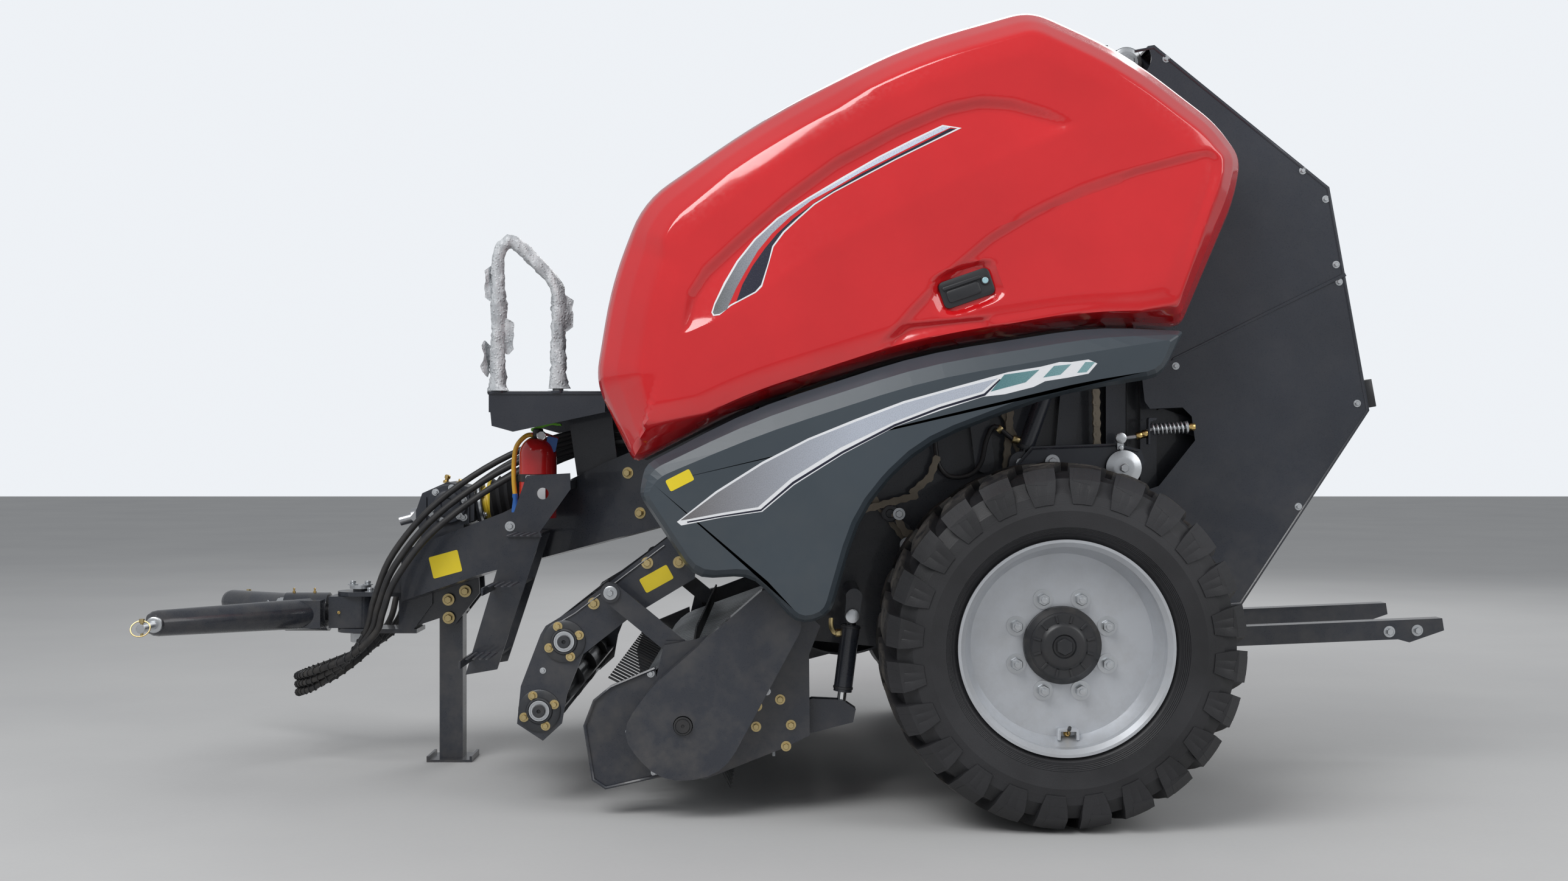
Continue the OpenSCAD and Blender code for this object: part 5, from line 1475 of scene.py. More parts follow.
class BALER_OT_extinguisher(bpy.types.Operator):
    """Adds the fire extinguisher's valve, levers, gauge, hose, nozzle, strap and tag"""

    bl_idname = "baler.extinguisher"
    bl_label = "Extinguisher fittings"

    def execute(self, context):
        x, y = BOTTLE
        strap = turned([(0, 60.3), (1, 61.6), (23, 61.6), (24, 60.3)], (x, y, 948), (x, y, 960), 40)
        clasp = block((x - 16, y - 68, 950), (x + 16, y - 60, 970), 2)
        neck = turned([(0, 21), (6, 21), (8, 17), (30, 17), (33, 14)], (x, y, 1083), (x, y, 1100), 20)
        dress(join([strap, clasp, neck], "bottle_strap"), "plastic", "chassis")
        upper = plate([(x - 22, 1116), (x + 40, 1136), (x + 74, 1131), (x + 76, 1124), (x + 42, 1127),
                       (x - 20, 1106)], y - 9, y + 9, 1.5)
        dress(named(upper, "bottle_lever"), "green", "chassis")
        lower = plate([(x - 22, 1103), (x + 20, 1104), (x + 66, 1088), (x + 64, 1081), (x + 18, 1095),
                       (x - 20, 1094)], y - 8, y + 8, 1.5)
        dress(named(lower, "bottle_grip"), "red_plastic", "chassis")
        gauge = boss([(0, 8), (8, 8), (9, 15), (16, 15), (17, 13)], x + 14, 12 - y, 1094, 20)
        dress(named(gauge, "bottle_gauge"), "chrome", "chassis")
        dial = boss([(0, 12.4), (1, 12.2)], x + 14, 28.6 - y, 1094, 20)
        dress(named(dial, "bottle_dial"), "white", "chassis")
        route = smooth_path([(x - 12, y, 1096), (x - 38, y - 4, 1092), (x - 66, y - 10, 1060),
                             (x - 74, y - 14, 1010), (x - 74, y - 16, 950), (x - 70, y - 16, 905)], 5)
        hose = swept(route, 15, 12)
        dress(named(hose, "bottle_hose"), "hose_yellow", "chassis", smooth=60)
        nozzle = turned([(0, 9), (10, 10), (16, 8), (52, 15), (58, 15.5), (58, 12)],
                        (x - 70, y - 16, 910), (x - 66, y - 16, 850), 20)
        dress(named(nozzle, "bottle_nozzle"), "blue", "chassis")
        tag = plate(rounded_box(34, 46, 5), 0.8, -0.8, 0.3)
        tag.data.transform(Matrix.Translation(point(x + 46, y - 26, 1066)) @ Matrix.Rotation(0.2, 4, "Y"))
        dress(named(tag, "bottle_tag"), "blue", "chassis")
        wire = swept([(x + 20, y - 6, 1098), (x + 34, y - 18, 1100), (x + 46, y - 26, 1088)], 1.8)
        dress(named(wire, "tag_wire"), "zinc", "chassis")
        return {"FINISHED"}


# Hitch. The left link pin: its seat on the yoke and its way out
KNUCKLE_Z = 498
PIN_SEAT = (-2030.5, -457.5, KNUCKLE_Z)
PIN_WAY = Vector((0.017452, -0.999848, 0))


# A grease nipple, as the rings of a turned piece
NIPPLE = [(0, 5.5), (5, 5.5), (5.5, 3), (11, 3), (12, 4), (14, 4), (16, 1.5)]


def at_pin(s, dx=0.0, dz=0.0):
    """A place s outwards along the left link pin."""
    p = Vector(PIN_SEAT) + PIN_WAY * s
    return (p.x + dx, p.y, p.z + dz)


class BALER_OT_hitch_fittings(bpy.types.Operator):
    """Adds the linch pins, the castle nut with its disc, the grease nipples and the bolts of the pin's keeper"""

    bl_idname = "baler.hitch_fittings"
    bl_label = "Hitch fittings"

    def execute(self, context):
        peg = turned([(0, 8.5), (12, 8.5), (13, 5), (52, 5), (56, 2.5)],
                     at_pin(124, 0, 30), at_pin(124, 0, -30), 14)
        hoop = swept([at_pin(124 + 15 * (1 - math.cos(q)), 30 * math.sin(q), 24 - 46 * (1 - math.cos(q)) / 2)
                      for q in (2 * math.pi * k / 28 for k in range(28))], 4.4, 8, True)
        dress_pair(join([peg, hoop], "linch_pin"), "yellow_zinc", "hitch_yoke")
        tip = turned([(0, 13.95), (1.5, 12.5), (1.6, 1)], at_pin(137.8), at_pin(150), 28)
        collar = turned([(0, 25.2), (2, 25.2), (4, 22), (4, 14.4)], at_pin(8), at_pin(12), 32)
        dress_pair(join([tip, collar], "pin_end"), "zinc", "hitch_yoke")
        z = KNUCKLE_Z
        disc = turned([(0, 46), (7, 46), (9, 43), (9, 1)], (-1756, 0, z), (-1766, 0, z), 40)
        nut = copies(hex_bolt(0.060, 0.55, washer=False), [((-1765, 0, z), (-1, 0, 0), 1)], "nut")
        crown = [block((-1806, -4, z + 14), (-1798, 4, z + 27), 0.8)]
        middle = Matrix.Translation(point(0, 0, z))
        for k in range(1, 6):
            piece = duplicate(crown[0])
            piece.data.transform(middle @ Matrix.Rotation(math.radians(60 * k), 4, "X") @ middle.inverted())
            crown.append(piece)
        stud = rod((-1790, 0, z), (-1812, 0, z), 27, 20)
        split = swept([(-1803, 0, 466), (-1803, 0, 530), (-1799, 0, 536), (-1795, 0, 530)], 4)
        dress(join([disc, nut] + crown + [stud, split], "castle_nut"), "zinc", "hitch_knuckle")
        head = copies(hex_bolt(FRAME_BOLT), [((-1460, 0, 589), UP, 1), ((-1510, 0, 589), UP, 1)], "pin_keeper")
        dress(head, "zinc", "hitch_knuckle")
        for word, places in (("knuckle", [((-1545, -55, 500), OUT, 1), ((-1530, 0, 553.5), UP, 1)]),
                             ("yoke", [((-1640, 0, 562.5), UP, 1), ((-1710, 0, 562.5), UP, 1)])):
            nipple = turned(NIPPLE, (0, 0, 0), (0, 0, 10), 8)
            dress(copies(nipple, places, word + "_nipples"), "brass", "hitch_" + word)
        return {"FINISHED"}


# Gearbox on the drawbar: its side, and the middle of the cover there
GEAR_SIDE = 95
GEAR_MIDDLE = (-1172, 866)


class BALER_OT_gearbox_fittings(bpy.types.Operator):
    """Adds the gearbox's side covers, ribs, breather and filler, and the shaft's flange, guard ring and bands"""

    bl_idname = "baler.gearbox_fittings"
    bl_label = "Gearbox fittings"

    def execute(self, context):
        x, z = GEAR_MIDDLE
        cover = boss([(0, 66), (7, 66), (10, 62), (10, 48), (16, 44), (18, 40), (18, 22), (14, 18), (14, 1)],
                     x, GEAR_SIDE, z, 40)
        ribs = [block((px - 3, -GEAR_SIDE - 7, 800), (px + 3, -GEAR_SIDE, top), 1.0, 1)
                for px, top in ((-1245, 890), (-1102, 905))]
        dress_pair(join([cover] + ribs, "gearbox_cover"), "paint_gearbox", "chassis")
        places = [((px, -GEAR_SIDE - 9.5, pz), OUT, 1) for px, pz in around(GEAR_MIDDLE, 56, 6, 15)]
        places += [((-1225, -GEAR_SIDE, 835), OUT, 1.1), ((-1120, -GEAR_SIDE, 822), OUT, 1.1)]
        dress_pair(copies(hex_bolt(0.013), places, "gearbox_bolts"), "zinc", "chassis")
        breather = turned([(0, 11), (8, 11), (9, 7), (16, 7), (17, 10), (26, 10), (29, 6)],
                          (-1190, -30, 934), (-1186, -30, 950), 16)
        filler = copies(hex_bolt(0.022, 0.5), [((-1150, 40, 932), (0.2, 0, 1), 1)], "filler")
        dress(join([breather, filler], "gearbox_breather"), "brass", "chassis")
        flange = turned([(0, 74.6), (1, 75.6), (9, 75.6), (10, 74)], (-1075, 0, 859.8), (-1062, 0, 862), 48)
        way = (Vector((-1062, 0, 862)) - Vector((-1084, 0, 858.3))).normalized()
        seat = Vector((-1084, 0, 858.3)) + way * 22.2
        across, up = Vector((0, 1, 0)), way.cross(Vector((0, 1, 0)))
        spots = [(seat + 65 * (across * math.cos(q) + up * math.sin(q)), way, 1)
                 for q in (math.radians(30 + 60 * k) for k in range(6))]
        bolts = copies(hex_bolt(0.013), spots, "flange_bolts")
        dress(join([flange, bolts], "shaft_flange"), "zinc", "chassis")
        ring = turned([(0, 55.2), (1, 58), (7, 58), (8, 55.2)], (-1056, 0, 863), (-1036, 0, 866.4), 40)
        dress(named(ring, "guard_ring"), "guard_yellow", "chassis")
        start, way = Vector((-1040, 0, 865.5)), Vector((915, 0, 153.5)).normalized()
        bands = [turned([(0, r), (1, r + 1.6), (9, r + 1.6), (10, r)],
                        start + way * s, start + way * (s + 10), 40)
                 for s, r in ((2, 73.6), (116, 31.9), (300, 32.0), (620, 32.0))]
        dress(join(bands, "guard_bands"), "zinc", "chassis")
        return {"FINISHED"}


# Lock levers of the tailgate, on both sides
LEVER_FACE = 750
SPRING_ROD = ((959, 1085), (990, 1088), (1022, 1096), (1038, 1109), (1060, 1112), (1175, 1119))
LEVER_BEAD = ((678, 966), (645, 998), (694, 1053), (938, 1062), (1010, 1045))


class BALER_OT_lock_springs(bpy.types.Operator):
    """Adds the tailgate locks' spring rods with their brass nuts, springs, brackets and washers"""

    bl_idname = "baler.lock_springs"
    bl_label = "Lock springs"

    def execute(self, context):
        y = LEVER_FACE + 16
        bar = swept(smooth_path([(px, -y, pz) for px, pz in SPRING_ROD], 4), 12, 12)
        eye = boss([(-8, 14), (-7, 16), (7, 16), (8, 14)], 955, y, 1085, 24)
        foot = rod((955, -LEVER_FACE + 2, 1056), (955, -LEVER_FACE - 24, 1056), 14, 16)
        strap = plate([(945, 1050), (965, 1050), (966, 1090), (944, 1090)],
                      -LEVER_FACE - 4, -LEVER_FACE - 9, 1.0)
        dress_pair(join([bar, eye, foot, strap], "spring_rod"), "zinc", "chassis")
        nuts = copies(hex_bolt(0.020, 0.9, washer=False), [
            ((1000, -y, 1091), (1, 0, 0.2), 1), ((1018, -y, 1096), (1, 0, 0.2), 1.1),
            ((1158, -y, 1118), (1, 0, 0.06), 1)], "spring_nuts")
        dress_pair(nuts, "brass", "chassis")
        spring = coil((1046, -y, 1111), (1150, -y, 1117.4), 16, 8.5, 6.0)
        seat = turned([(0, 19), (4, 19)], (1150, -y, 1117.4), (1160, -y, 1118), 20)
        dress_pair(join([spring, seat], "lock_spring"), "zinc", "chassis", smooth=60)
        clasp = plate([(1034, 1140), (1034, 1066), (1040, 1066), (1040, 1134), (1060, 1140), (1060, 1146),
                       (1036, 1146)], -y - 14, -y + 18, 1.0)
        dress_pair(named(clasp, "spring_bracket"), "paint", "chassis")
        cone = boss([(0, 53), (2, 53), (8, 34), (9, 28), (9, 17), (5, 15), (5, 1)], 964, 764, 996, 48)
        bolt = copies(hex_bolt(0.024), [((964, -770, 996), OUT, 1), ((752, -758, 1014), OUT, 1)], "bolt")
        ring = boss([(0, 17), (2, 17), (6, 15), (6, 1)], 661, 734, 1010, 28)
        dress_pair(join([cone, bolt, ring], "lever_pivots"), "zinc", "chassis")
        edge = swept([(px, -LEVER_FACE - 1, pz) for px, pz in LEVER_BEAD], 6)
        dress_pair(named(edge, "lever_bead"), "paint", "chassis")
        return {"FINISHED"}


# Crop press
PRESS_ROLLERS = (("upper", (-694, 489)), ("lower", (-767, 286)))
PRESS_ARM = 862
# Turned pieces of a roller's bearing: rings, sides, name, finish
BEARING_PIECES = (
    ([(0.1, 62), (5, 62), (7, 59), (7, 40), (12, 37), (13, 33), (10, 31), (10, 1)], 36,
     "roller_bearings", "dark_steel"),
    ([(6, 19), (21, 19), (23, 17), (23, 6), (16, 4), (16, 1)], 28, "roller_ends", "dark_steel"),
    ([(6, 30), (12.5, 30), (13, 28.5), (12.5, 26), (11, 25.5), (11, 1)], 32, "bearing_rings", "zinc"),
)
ARM_BEAD = ((-400, 770), (-545, 660), (-662, 571), (-735, 528))


class BALER_OT_press_fittings(bpy.types.Operator):
    """Adds the crop press rollers' bearings and discs, the link pins' keepers, and the arms' pivots and beads"""

    bl_idname = "baler.press_fittings"
    bl_label = "Crop press fittings"

    def execute(self, context):
        spots = [place for name, place in PRESS_ROLLERS]
        pieces = [(join([boss(profile, x, PRESS_ARM, z, sides) for x, z in spots], name), key)
                  for profile, sides, name, key in BEARING_PIECES]
        for piece, key in pieces:
            dress_pair(piece, key, "press_arms")
        bolts = [((x, -PRESS_ARM - 7, z), OUT, 1) for spot in spots for x, z in around(spot, 48, 4, 23)]
        dress_pair(copies(hex_bolt(0.015), bolts, "bearing_bolts"), "yellow_zinc", "press_arms")
        pins = [boss([(0, 20), (4, 20), (5, 18), (5, 1)], px, 952, pz, 28)
                for px, pz in ((-551, 638), (-358, 479))]
        heads = copies(hex_bolt(0.017), [((-551, -957, 638), OUT, 1), ((-358, -957, 479), OUT, 1)], "heads")
        dress_pair(join(pins + [heads], "link_keepers"), "zinc", "press_links")
        pivot = boss([(0, 30), (3, 30), (8, 26), (8, 1)], -327, 876, 762, 32)
        nut = copies(hex_bolt(0.030), [((-327, -883, 762), OUT, 1)], "nut")
        dress_pair(join([pivot, nut], "press_pivot"), "zinc", "chassis")
        bead = swept([(px, -PRESS_ARM - 1, pz) for px, pz in ARM_BEAD], 6)
        dress_pair(named(bead, "arm_bead"), "paint", "press_arms")
        screw = copies(hex_bolt(0.010), [((-757, -PRESS_ARM, 403), OUT, 1)], "arm_screw")
        dress_pair(screw, "zinc", "press_arms")
        for word, (x, z) in PRESS_ROLLERS:
            discs = [turned([(0, 45), (0.5, 62), (5.5, 62), (6, 45)], (x, y, z), (x, y + 6, z), 24)
                     for y in (-600, -200, 200, 600)]
            dress(join(discs, "press_discs_" + word), "dark_steel", "press_roller_" + word)
        return {"FINISHED"}


# Pickup
REEL = (-335, 273)
COVER_FACE = 1083
SHIELD_EDGE = ((-392, 120), (-561, 82), (-597, 106), (-621, 260), (-594, 331), (-546, 371), (-420, 424))
# Upper pin of the left lift cylinder, and the side view of its lower one
LIFT_PIN = (148, -907, 570)
LIFT_EYE = (114, 299)


class BALER_OT_pickup_fittings(bpy.types.Operator):
    """Adds the pickup's reel caps, shield edges and pivots, and the lift cylinders' elbows, glands and pins"""

    bl_idname = "baler.pickup_fittings"
    bl_label = "Pickup fittings"

    def execute(self, context):
        x, z = REEL
        ring = boss([(0, 26), (1.5, 26), (2, 24), (2, 21.5), (0.5, 21), (0.5, 20), (4, 19), (4, 5), (1, 4),
                     (1, 1)], x, COVER_FACE, z, 36)
        dress(named(ring, "reel_cap_left"), "plastic", "pickup")
        cap = turned([(0, 56), (6, 56), (8, 53), (8, 36), (22, 32), (25, 28), (25, 1)],
                     (x, 983, z), (x, 993, z), 36)
        places = [((px, 991, pz), (0, 1, 0), 1) for px, pz in around(REEL, 45, 4, 45)]
        bolts = copies(hex_bolt(0.015), places, "bolts")
        dress(join([cap, bolts], "reel_cap_right"), "dark_steel", "pickup")
        rim = swept([(px, -987, pz) for px, pz in SHIELD_EDGE], 10)
        dress_pair(named(rim, "shield_edge"), "paint", "pickup")
        pin = Vector(LIFT_PIN)
        lift = Vector((LIFT_EYE[0] - pin.x, 0, LIFT_EYE[1] - pin.z)).normalized()
        port = pin + lift * 52
        side = port - Vector((24, 0, 0))
        elbow = swept(smooth_path([side, side + Vector((-20, 0, 0)), side + Vector((-30, 2, 18)),
                                   side + Vector((-30, 12, 40))], 4), 15, 12)
        nut = copies(hex_bolt(0.022, 0.8, washer=False), [(side, (-1, 0, 0), 1)], "nut")
        dress_pair(join([elbow, nut], "lift_elbow"), "yellow_zinc", "lift_barrels")
        bands = [turned([(0, 27.2), (1, 29), (7, 29), (8, 27.2)], pin + lift * s, pin + lift * (s + 8), 28)
                 for s in (30, 208)]
        dress_pair(join(bands, "lift_gland"), "dark_steel", "lift_barrels")
        head = boss([(0, 20), (4, 20), (5, 18), (5, 1)], pin.x, 936, pin.z, 24)
        clip = swept([(140, -940, 585), (148, -944, 590), (156, -940, 585), (156, -940, 560)], 3)
        dress_pair(join([head, clip], "lift_pin_head"), "zinc", "chassis")
        washer = boss([(0, 38), (5, 38), (6, 34), (6, 1)], -5, 668, 560, 30)
        nut = copies(hex_bolt(0.036), [((-5, -673, 560), OUT, 1)], "nut")
        dress_pair(join([washer, nut], "pickup_pivot"), "zinc", "chassis")
        return {"FINISHED"}


# Tailgate
GATE_FACE = 745
# Lower and upper end of the rear face, and the side view of the bead along the shell's edge
REAR = ((1703, 1168), (1583, 1837))
SHELL_EDGE = ((1000, 2244), (1057, 2255), (1578, 1833), (1697, 1168), (1317, 590), (1000, 566))
# Walls round the left lamp, on the rear face: from and to along it, from and to across
LAMP_WALLS = ((8, 19, -735, -604), (82, 92, -735, -604), (8, 92, -736, -726), (8, 92, -614, -603))
# Beads on the roof and under the shell: ends of the face, starts of the beads along it, half of their length
SLOPE_BEADS = (
    ((1059, 2263), (1583, 1837), (170, 330, 490), 600), (REAR[0], (1321, 585), (180, 360, 540), 560),
)


def on_rear(s, y, out=0.0):
    """A place on the tailgate's rear face: s up along it from the lower corner, y across, out from the face."""
    (x0, z0), (x1, z1) = REAR
    run = math.hypot(x1 - x0, z1 - z0)
    ux, uz = (x1 - x0) / run, (z1 - z0) / run
    return (x0 + ux * s + uz * out, y, z0 + uz * s - ux * out)


REAR_OUT = (0.9843, 0, 0.1766)


def rear_panel(s_low, s_high, y_low, y_high, out_from, out_to, rounding=2):
    """A rounded block on the rear face."""
    piece = block((out_from, y_low, s_low), (out_to, y_high, s_high), rounding)
    lean = math.atan2(REAR_OUT[2], REAR_OUT[0])
    piece.data.transform(Matrix.Translation(point(REAR[0][0], 0, REAR[0][1])) @ Matrix.Rotation(-lean, 4, "Y"))
    return piece


class BALER_OT_tailgate_fittings(bpy.types.Operator):
    """Adds the tailgate's crease strips, pressed beads, lamps, reflectors, plate holder and hinge collars"""

    bl_idname = "baler.tailgate_fittings"
    bl_label = "Tailgate fittings"

    def execute(self, context):
        strip = plate([(1108, 1316), (1114, 1326), (1628, 1581), (1634, 1571)],
                      -GATE_FACE + 0.5, -GATE_FACE - 4, 1.5)
        fold = swept([(px, -GATE_FACE + 1, pz) for px, pz in SHELL_EDGE], 9)
        dress_pair(join([strip, fold], "gate_beads"), "paint", "tailgate")
        beads = [rear_panel(s, s + 26, -560, 560, -1, 7, 6) for s in (150, 290, 430, 570)]
        for (x0, z0), (x1, z1), starts, half in SLOPE_BEADS:
            seat = Matrix.Translation(point(x0, 0, z0)) @ Matrix.Rotation(-math.atan2(z1 - z0, x1 - x0), 4, "Y")
            for s in starts:
                bead = block((s, -half, -1), (s + 26, half, 7), 6)
                bead.data.transform(seat)
                beads.append(bead)
        dress(join(beads, "rear_beads"), "paint", "tailgate")
        housing = join([rear_panel(*box, 0.3, 26) for box in LAMP_WALLS], "lamp_housing")
        dress_pair(housing, "plastic", "tailgate")
        red = rear_panel(24, 76, -668, -620, 20, 24.5, 2)
        dress_pair(named(red, "lamp_red"), "lens_red", "tailgate")
        reflector = turned([(0, 38), (6, 38), (8, 35), (8, 1)], on_rear(124, -660), on_rear(124, -660, 10), 32)
        dress_pair(named(reflector, "reflector"), "lens_red", "tailgate")
        board = rear_panel(34, 150, -130, 130, -0.5, 4, 2)
        dress(named(board, "plate_holder"), "plastic", "tailgate")
        sign = rear_panel(40, 144, -124, 124, 3, 5, 1)
        dress(named(sign, "blank_plate"), "white", "tailgate")
        round_sign = turned([(0, 100), (2, 100), (2.5, 98), (2.5, 1)],
                            on_rear(360, -520, 6.5), on_rear(360, -520, 16), 40)
        dress_pair(named(round_sign, "blank_disc"), "white", "tailgate")
        collar = boss([(0, 46), (4, 46), (6, 42), (6, 1)], 990, 667, 2225, 36)
        nut = copies(hex_bolt(0.036), [((990, -673, 2225), OUT, 1)], "nut")
        dress_pair(join([collar, nut], "gate_hinge_cap"), "zinc", "chassis")
        pin = boss([(0, 15.3), (0.2, 24), (5, 24), (6, 22), (6, 1)], 1035, 734, 2058, 28)
        dress_pair(named(pin, "gate_eye_pin"), "zinc", "tailgate")
        return {"FINISHED"}


# Platform, ladder and handrail
RAIL_PATH = ((-931, 1224, 0), (-931, 1660, 60), (-895, 1700, 25), (-793, 1611, 60), (-747, 1551, 40),
             (-747, 1224, 0))
RAIL_Y = 575
# The ladder's lower end, how far it leans and rises, and where its steps are as shares of that
LADDER_FOOT = (-1030, 362)
LADDER_RUN = (133, 435)
LADDER_STEPS = (0.12, 0.62)


class BALER_OT_film_wrap(bpy.types.Operator):
    """Winds crumpled bubble film round the handrail, with loose flaps and a skirt at its feet"""

    bl_idname = "baler.film_wrap"
    bl_label = "Film on the handrail"

    def execute(self, context):
        line = []
        for i, (x, z, cut) in enumerate(RAIL_PATH):
            here = Vector((x, z))
            if cut:
                before, after = Vector(RAIL_PATH[i - 1][:2]), Vector(RAIL_PATH[i + 1][:2])
                line += round_corner(before, here, after, cut, 5)
            else:
                line.append(here)
        dense = []
        for a, b in zip(line, line[1:]):
            count = max(1, int((b - a).length / 7))
            dense += [a.lerp(b, k / count) for k in range(count)]
        dense = dense[1:-1]
        wrap = swept([(p.x, -RAIL_Y, p.y) for p in dense], 46, 32)
        path = np.array([(p.x, p.y) for p in dense])
        for vertex in wrap.data.vertices:
            co = vertex.co / MM
            nearest = path[np.argmin(np.hypot(path[:, 0] - co.x, path[:, 1] - co.z))]
            centre = Vector((nearest[0], -RAIL_Y, nearest[1]))
            way = co - centre
            if way.length < 1:
                continue
            # Slow swellings, folds that run along the rail, small creases, and a skirt at the feet
            swell = 9 * noise.noise(co * 0.011 + Vector((3, 8, 2)))
            fold = 9 * abs(noise.noise(Vector((co.x * 0.045, co.y * 0.045, co.z * 0.014)) + Vector((7, 3, 1))))
            crease = 5 * noise.noise(co * 0.085)
            skirt = 26 * math.exp(-max(0, co.z - 1226) / 16) * (0.6 + noise.noise(co * 0.03))
            vertex.co = (centre + way.normalized() * max(18.5, 21 + swell + fold + crease + skirt)) * MM
        flaps = []
        for at, turn in (((-952, 1560), 0.4), ((-905, 1400), 2.6), ((-722, 1470), 0.2), ((-968, 1330), 0.9)):
            clear_selection()
            bpy.ops.mesh.primitive_grid_add(x_subdivisions=9, y_subdivisions=14, size=2)
            flap = bpy.context.object
            for vertex in flap.data.vertices:
                u, v = vertex.co.x, vertex.co.y
                ragged = 1 - 0.35 * abs(noise.noise(Vector((at[0] * 0.1, v * 1.7, turn))))
                out = Vector((u * 24 * ragged, 0, v * 58 * (1 - 0.3 * abs(u))))
                out.y = 10 * noise.noise(Vector((u * 1.4, v * 1.8, at[1] * 0.01))) + 8 * math.sin(u * 2 + v)
                vertex.co = (Vector((at[0], -RAIL_Y, at[1])) + Matrix.Rotation(turn, 3, "Z") @ out) * MM
            flaps.append(apply_modifier(flap, "SOLIDIFY", "Film", thickness=0.8 * MM, offset=0))
        dress(join([wrap] + flaps, "film_wrap"), "film", "chassis", smooth=70)
        feet = [turned([(0, 34), (6, 34), (7, 32), (7, 17.4)], (x, -RAIL_Y, 1224), (x, -RAIL_Y, 1240), 28)
                for x in (-931, -747)]
        dress(join(feet, "rail_feet"), "paint", "chassis")
        return {"FINISHED"}


class BALER_OT_steps(bpy.types.Operator):
    """Raises the anti-slip studs on the platform and the ladder's steps, and adds their edges and lips"""

    bl_idname = "baler.steps"
    bl_label = "Platform and steps"

    def execute(self, context):
        stud = turned([(0, 8), (3.2, 5.5), (3.2, 3)], (0, 0, 0), (0, 0, 10), 8)
        spots = [((-930 + 38 * i, -560 + 46 * k + (23 if i % 2 else 0), 1224), UP, 1)
                 for i in range(9) for k in range(25)]
        dress(copies(stud, spots, "platform_studs"), "paint", "chassis")
        edge = [block((-960, -604, 1219), (-598, -598, 1230), 2), block((-960, 598, 1219), (-598, 604, 1230), 2),
                block((-960, -604, 1219), (-954, 604, 1230), 2)]
        dress(join(edge, "platform_edge"), "paint", "chassis")
        stud = turned([(0, 6.5), (3, 4.5), (3, 2.5)], (0, 0, 0), (0, 0, 10), 8)
        (x0, z0), (run, rise) = LADDER_FOOT, LADDER_RUN
        steps = [(x0 + share * run, z0 + share * rise) for share in LADDER_STEPS]
        spots = [((x + 16 + 20 * i, -580 - 24 * k, z), UP, 1)
                 for x, z in [(x, z + 8) for x, z in steps] + [(-890, 792)] for i in range(4) for k in range(8)]
        dress(copies(stud, spots, "step_studs"), "paint", "chassis")
        lips = [block((x - 3, -788, z - 16), (x + 3, -562, z + 8), 1.5) for x, z in steps]
        dress(join(lips, "step_lips"), "paint", "chassis")
        return {"FINISHED"}


# Pipes, couplings and door seals

class BALER_OT_pipes(bpy.types.Operator):
    """Adds the tailgate cylinders' pipes and glands, and the hoses' coupling plates and box on the front beam"""

    bl_idname = "baler.pipes"
    bl_label = "Pipes and couplings"

    def execute(self, context):
        foot, eye = Vector((661, -710, 1010)), Vector((1035, -710, 2058))
        way = (eye - foot).normalized()
        bands = [turned([(0, 25.2), (1, 27.5), (11, 27.5), (12, 25.2)],
                        foot + way * s, foot + way * (s + 12), 28)
                 for s in (44, 905)]
        dress_pair(join(bands, "gate_glands"), "dark_steel", "gate_barrels")
        port = foot + way * 62
        route = [port + Vector((-22, 0, 8)), port + Vector((-46, 0, 16)), (585, -710, 1120), (560, -706, 1078),
                 (545, -700, 1012), (512, -696, 975), (455, -692, 968), (420, -690, 1000), (408, -688, 1060),
                 (404, -686, 1130), (400, -684, 1220)]
        hose = swept(smooth_path(route, 5), 15, 12)
        dress_pair(named(hose, "gate_pipe"), "rubber", "chassis", smooth=60)
        nuts = copies(hex_bolt(0.022, 1.0, washer=False), [
            (route[0], (-0.94, 0, 0.34), 1), ((606, -709, 1119), (-0.7, 0, -0.7), 0.9)], "gate_pipe_nuts")
        dress_pair(nuts, "yellow_zinc", "chassis")
        panel = block((-131, -320, 1020), (-119.5, -120, 1190), 3)
        dress(named(panel, "coupling_plate"), "zinc", "chassis")
        panel = block((-131, 120, 1020), (-119.5, 320, 1190), 3)
        dress(named(panel, "coupling_plate_right"), "zinc", "chassis")
        lamp = block((-133, -70, 1300), (-119, 70, 1360), 3)
        dress(named(lamp, "front_box"), "plastic", "chassis")
        return {"FINISHED"}


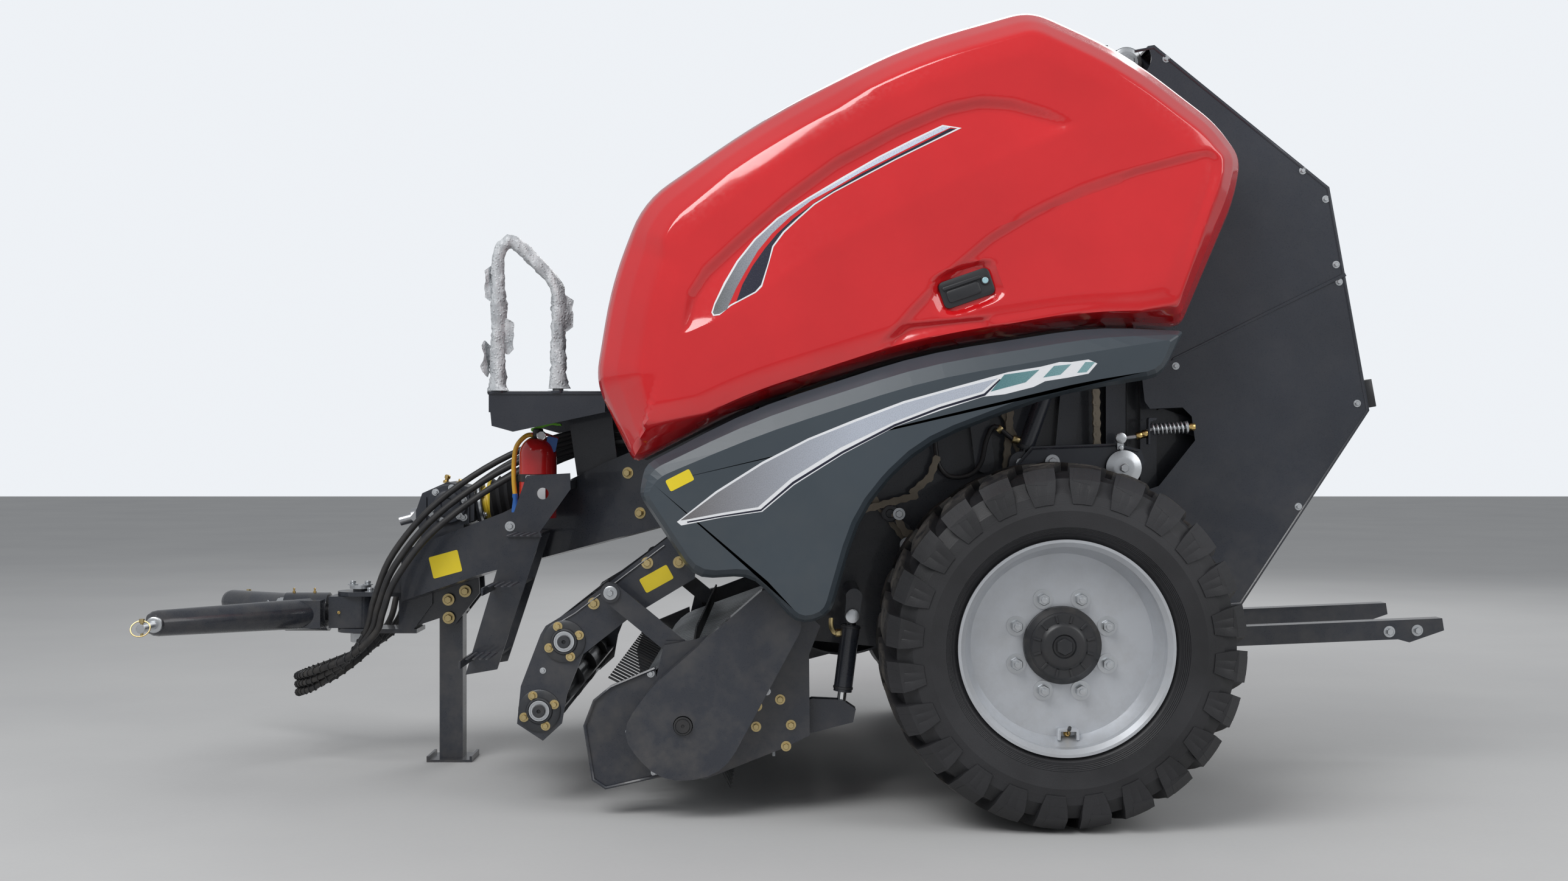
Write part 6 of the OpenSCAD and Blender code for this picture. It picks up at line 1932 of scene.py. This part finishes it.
class BALER_OT_seals(bpy.types.Operator):
    """Lays the rubber seals under the side doors' rims"""

    bl_idname = "baler.seals"
    bl_label = "Door seals"

    def execute(self, context):
        ring = resample(DOOR_OUTLINE, 120)[:, :2]
        seal = swept([(x, -DOOR_RIM + 1, z) for x, z in ring], 11, 8, True)
        dress_pair(named(seal, "door_seal"), "rubber", "door_left", "door_right")
        return {"FINISHED"}


PIECE_OPERATORS = (
    BALER_OT_node_finishes, BALER_OT_stage, BALER_OT_hoses, BALER_OT_doors, BALER_OT_stripes,
    BALER_OT_wheel_fittings, BALER_OT_tread, BALER_OT_bolts, BALER_OT_labels, BALER_OT_chains,
    BALER_OT_extinguisher, BALER_OT_hitch_fittings, BALER_OT_gearbox_fittings, BALER_OT_lock_springs,
    BALER_OT_press_fittings, BALER_OT_pickup_fittings, BALER_OT_tailgate_fittings, BALER_OT_film_wrap,
    BALER_OT_steps, BALER_OT_pipes, BALER_OT_seals,
)


class BALER_PT_panel(bpy.types.Panel):
    """Lists the baler's operators, sizes and colours"""

    bl_label = "Round Baler"
    bl_idname = "BALER_PT_panel"
    bl_space_type = "VIEW_3D"
    bl_region_type = "UI"
    bl_category = "Round Baler"

    def draw(self, context):
        layout = self.layout
        for operator in PIECE_OPERATORS:
            layout.operator(operator.bl_idname)
        for group in (colours(), sizes()):
            box = layout.box()
            for key in group.__annotations__:
                box.prop(group, key)


CLASSES = (BalerColours, BalerSizes) + PIECE_OPERATORS + (BALER_PT_panel,)


def register():
    for cls in CLASSES:
        bpy.utils.register_class(cls)
    bpy.types.Scene.baler_colours = bpy.props.PointerProperty(type=BalerColours)
    bpy.types.Scene.baler_sizes = bpy.props.PointerProperty(type=BalerSizes)


def unregister():
    del bpy.types.Scene.baler_sizes
    del bpy.types.Scene.baler_colours
    for cls in reversed(CLASSES):
        bpy.utils.unregister_class(cls)


def main():
    register()
    for operator in PIECE_OPERATORS:
        group, name = operator.bl_idname.split(".")
        getattr(getattr(bpy.ops, group), name)()


if __name__ == "__main__":
    main()
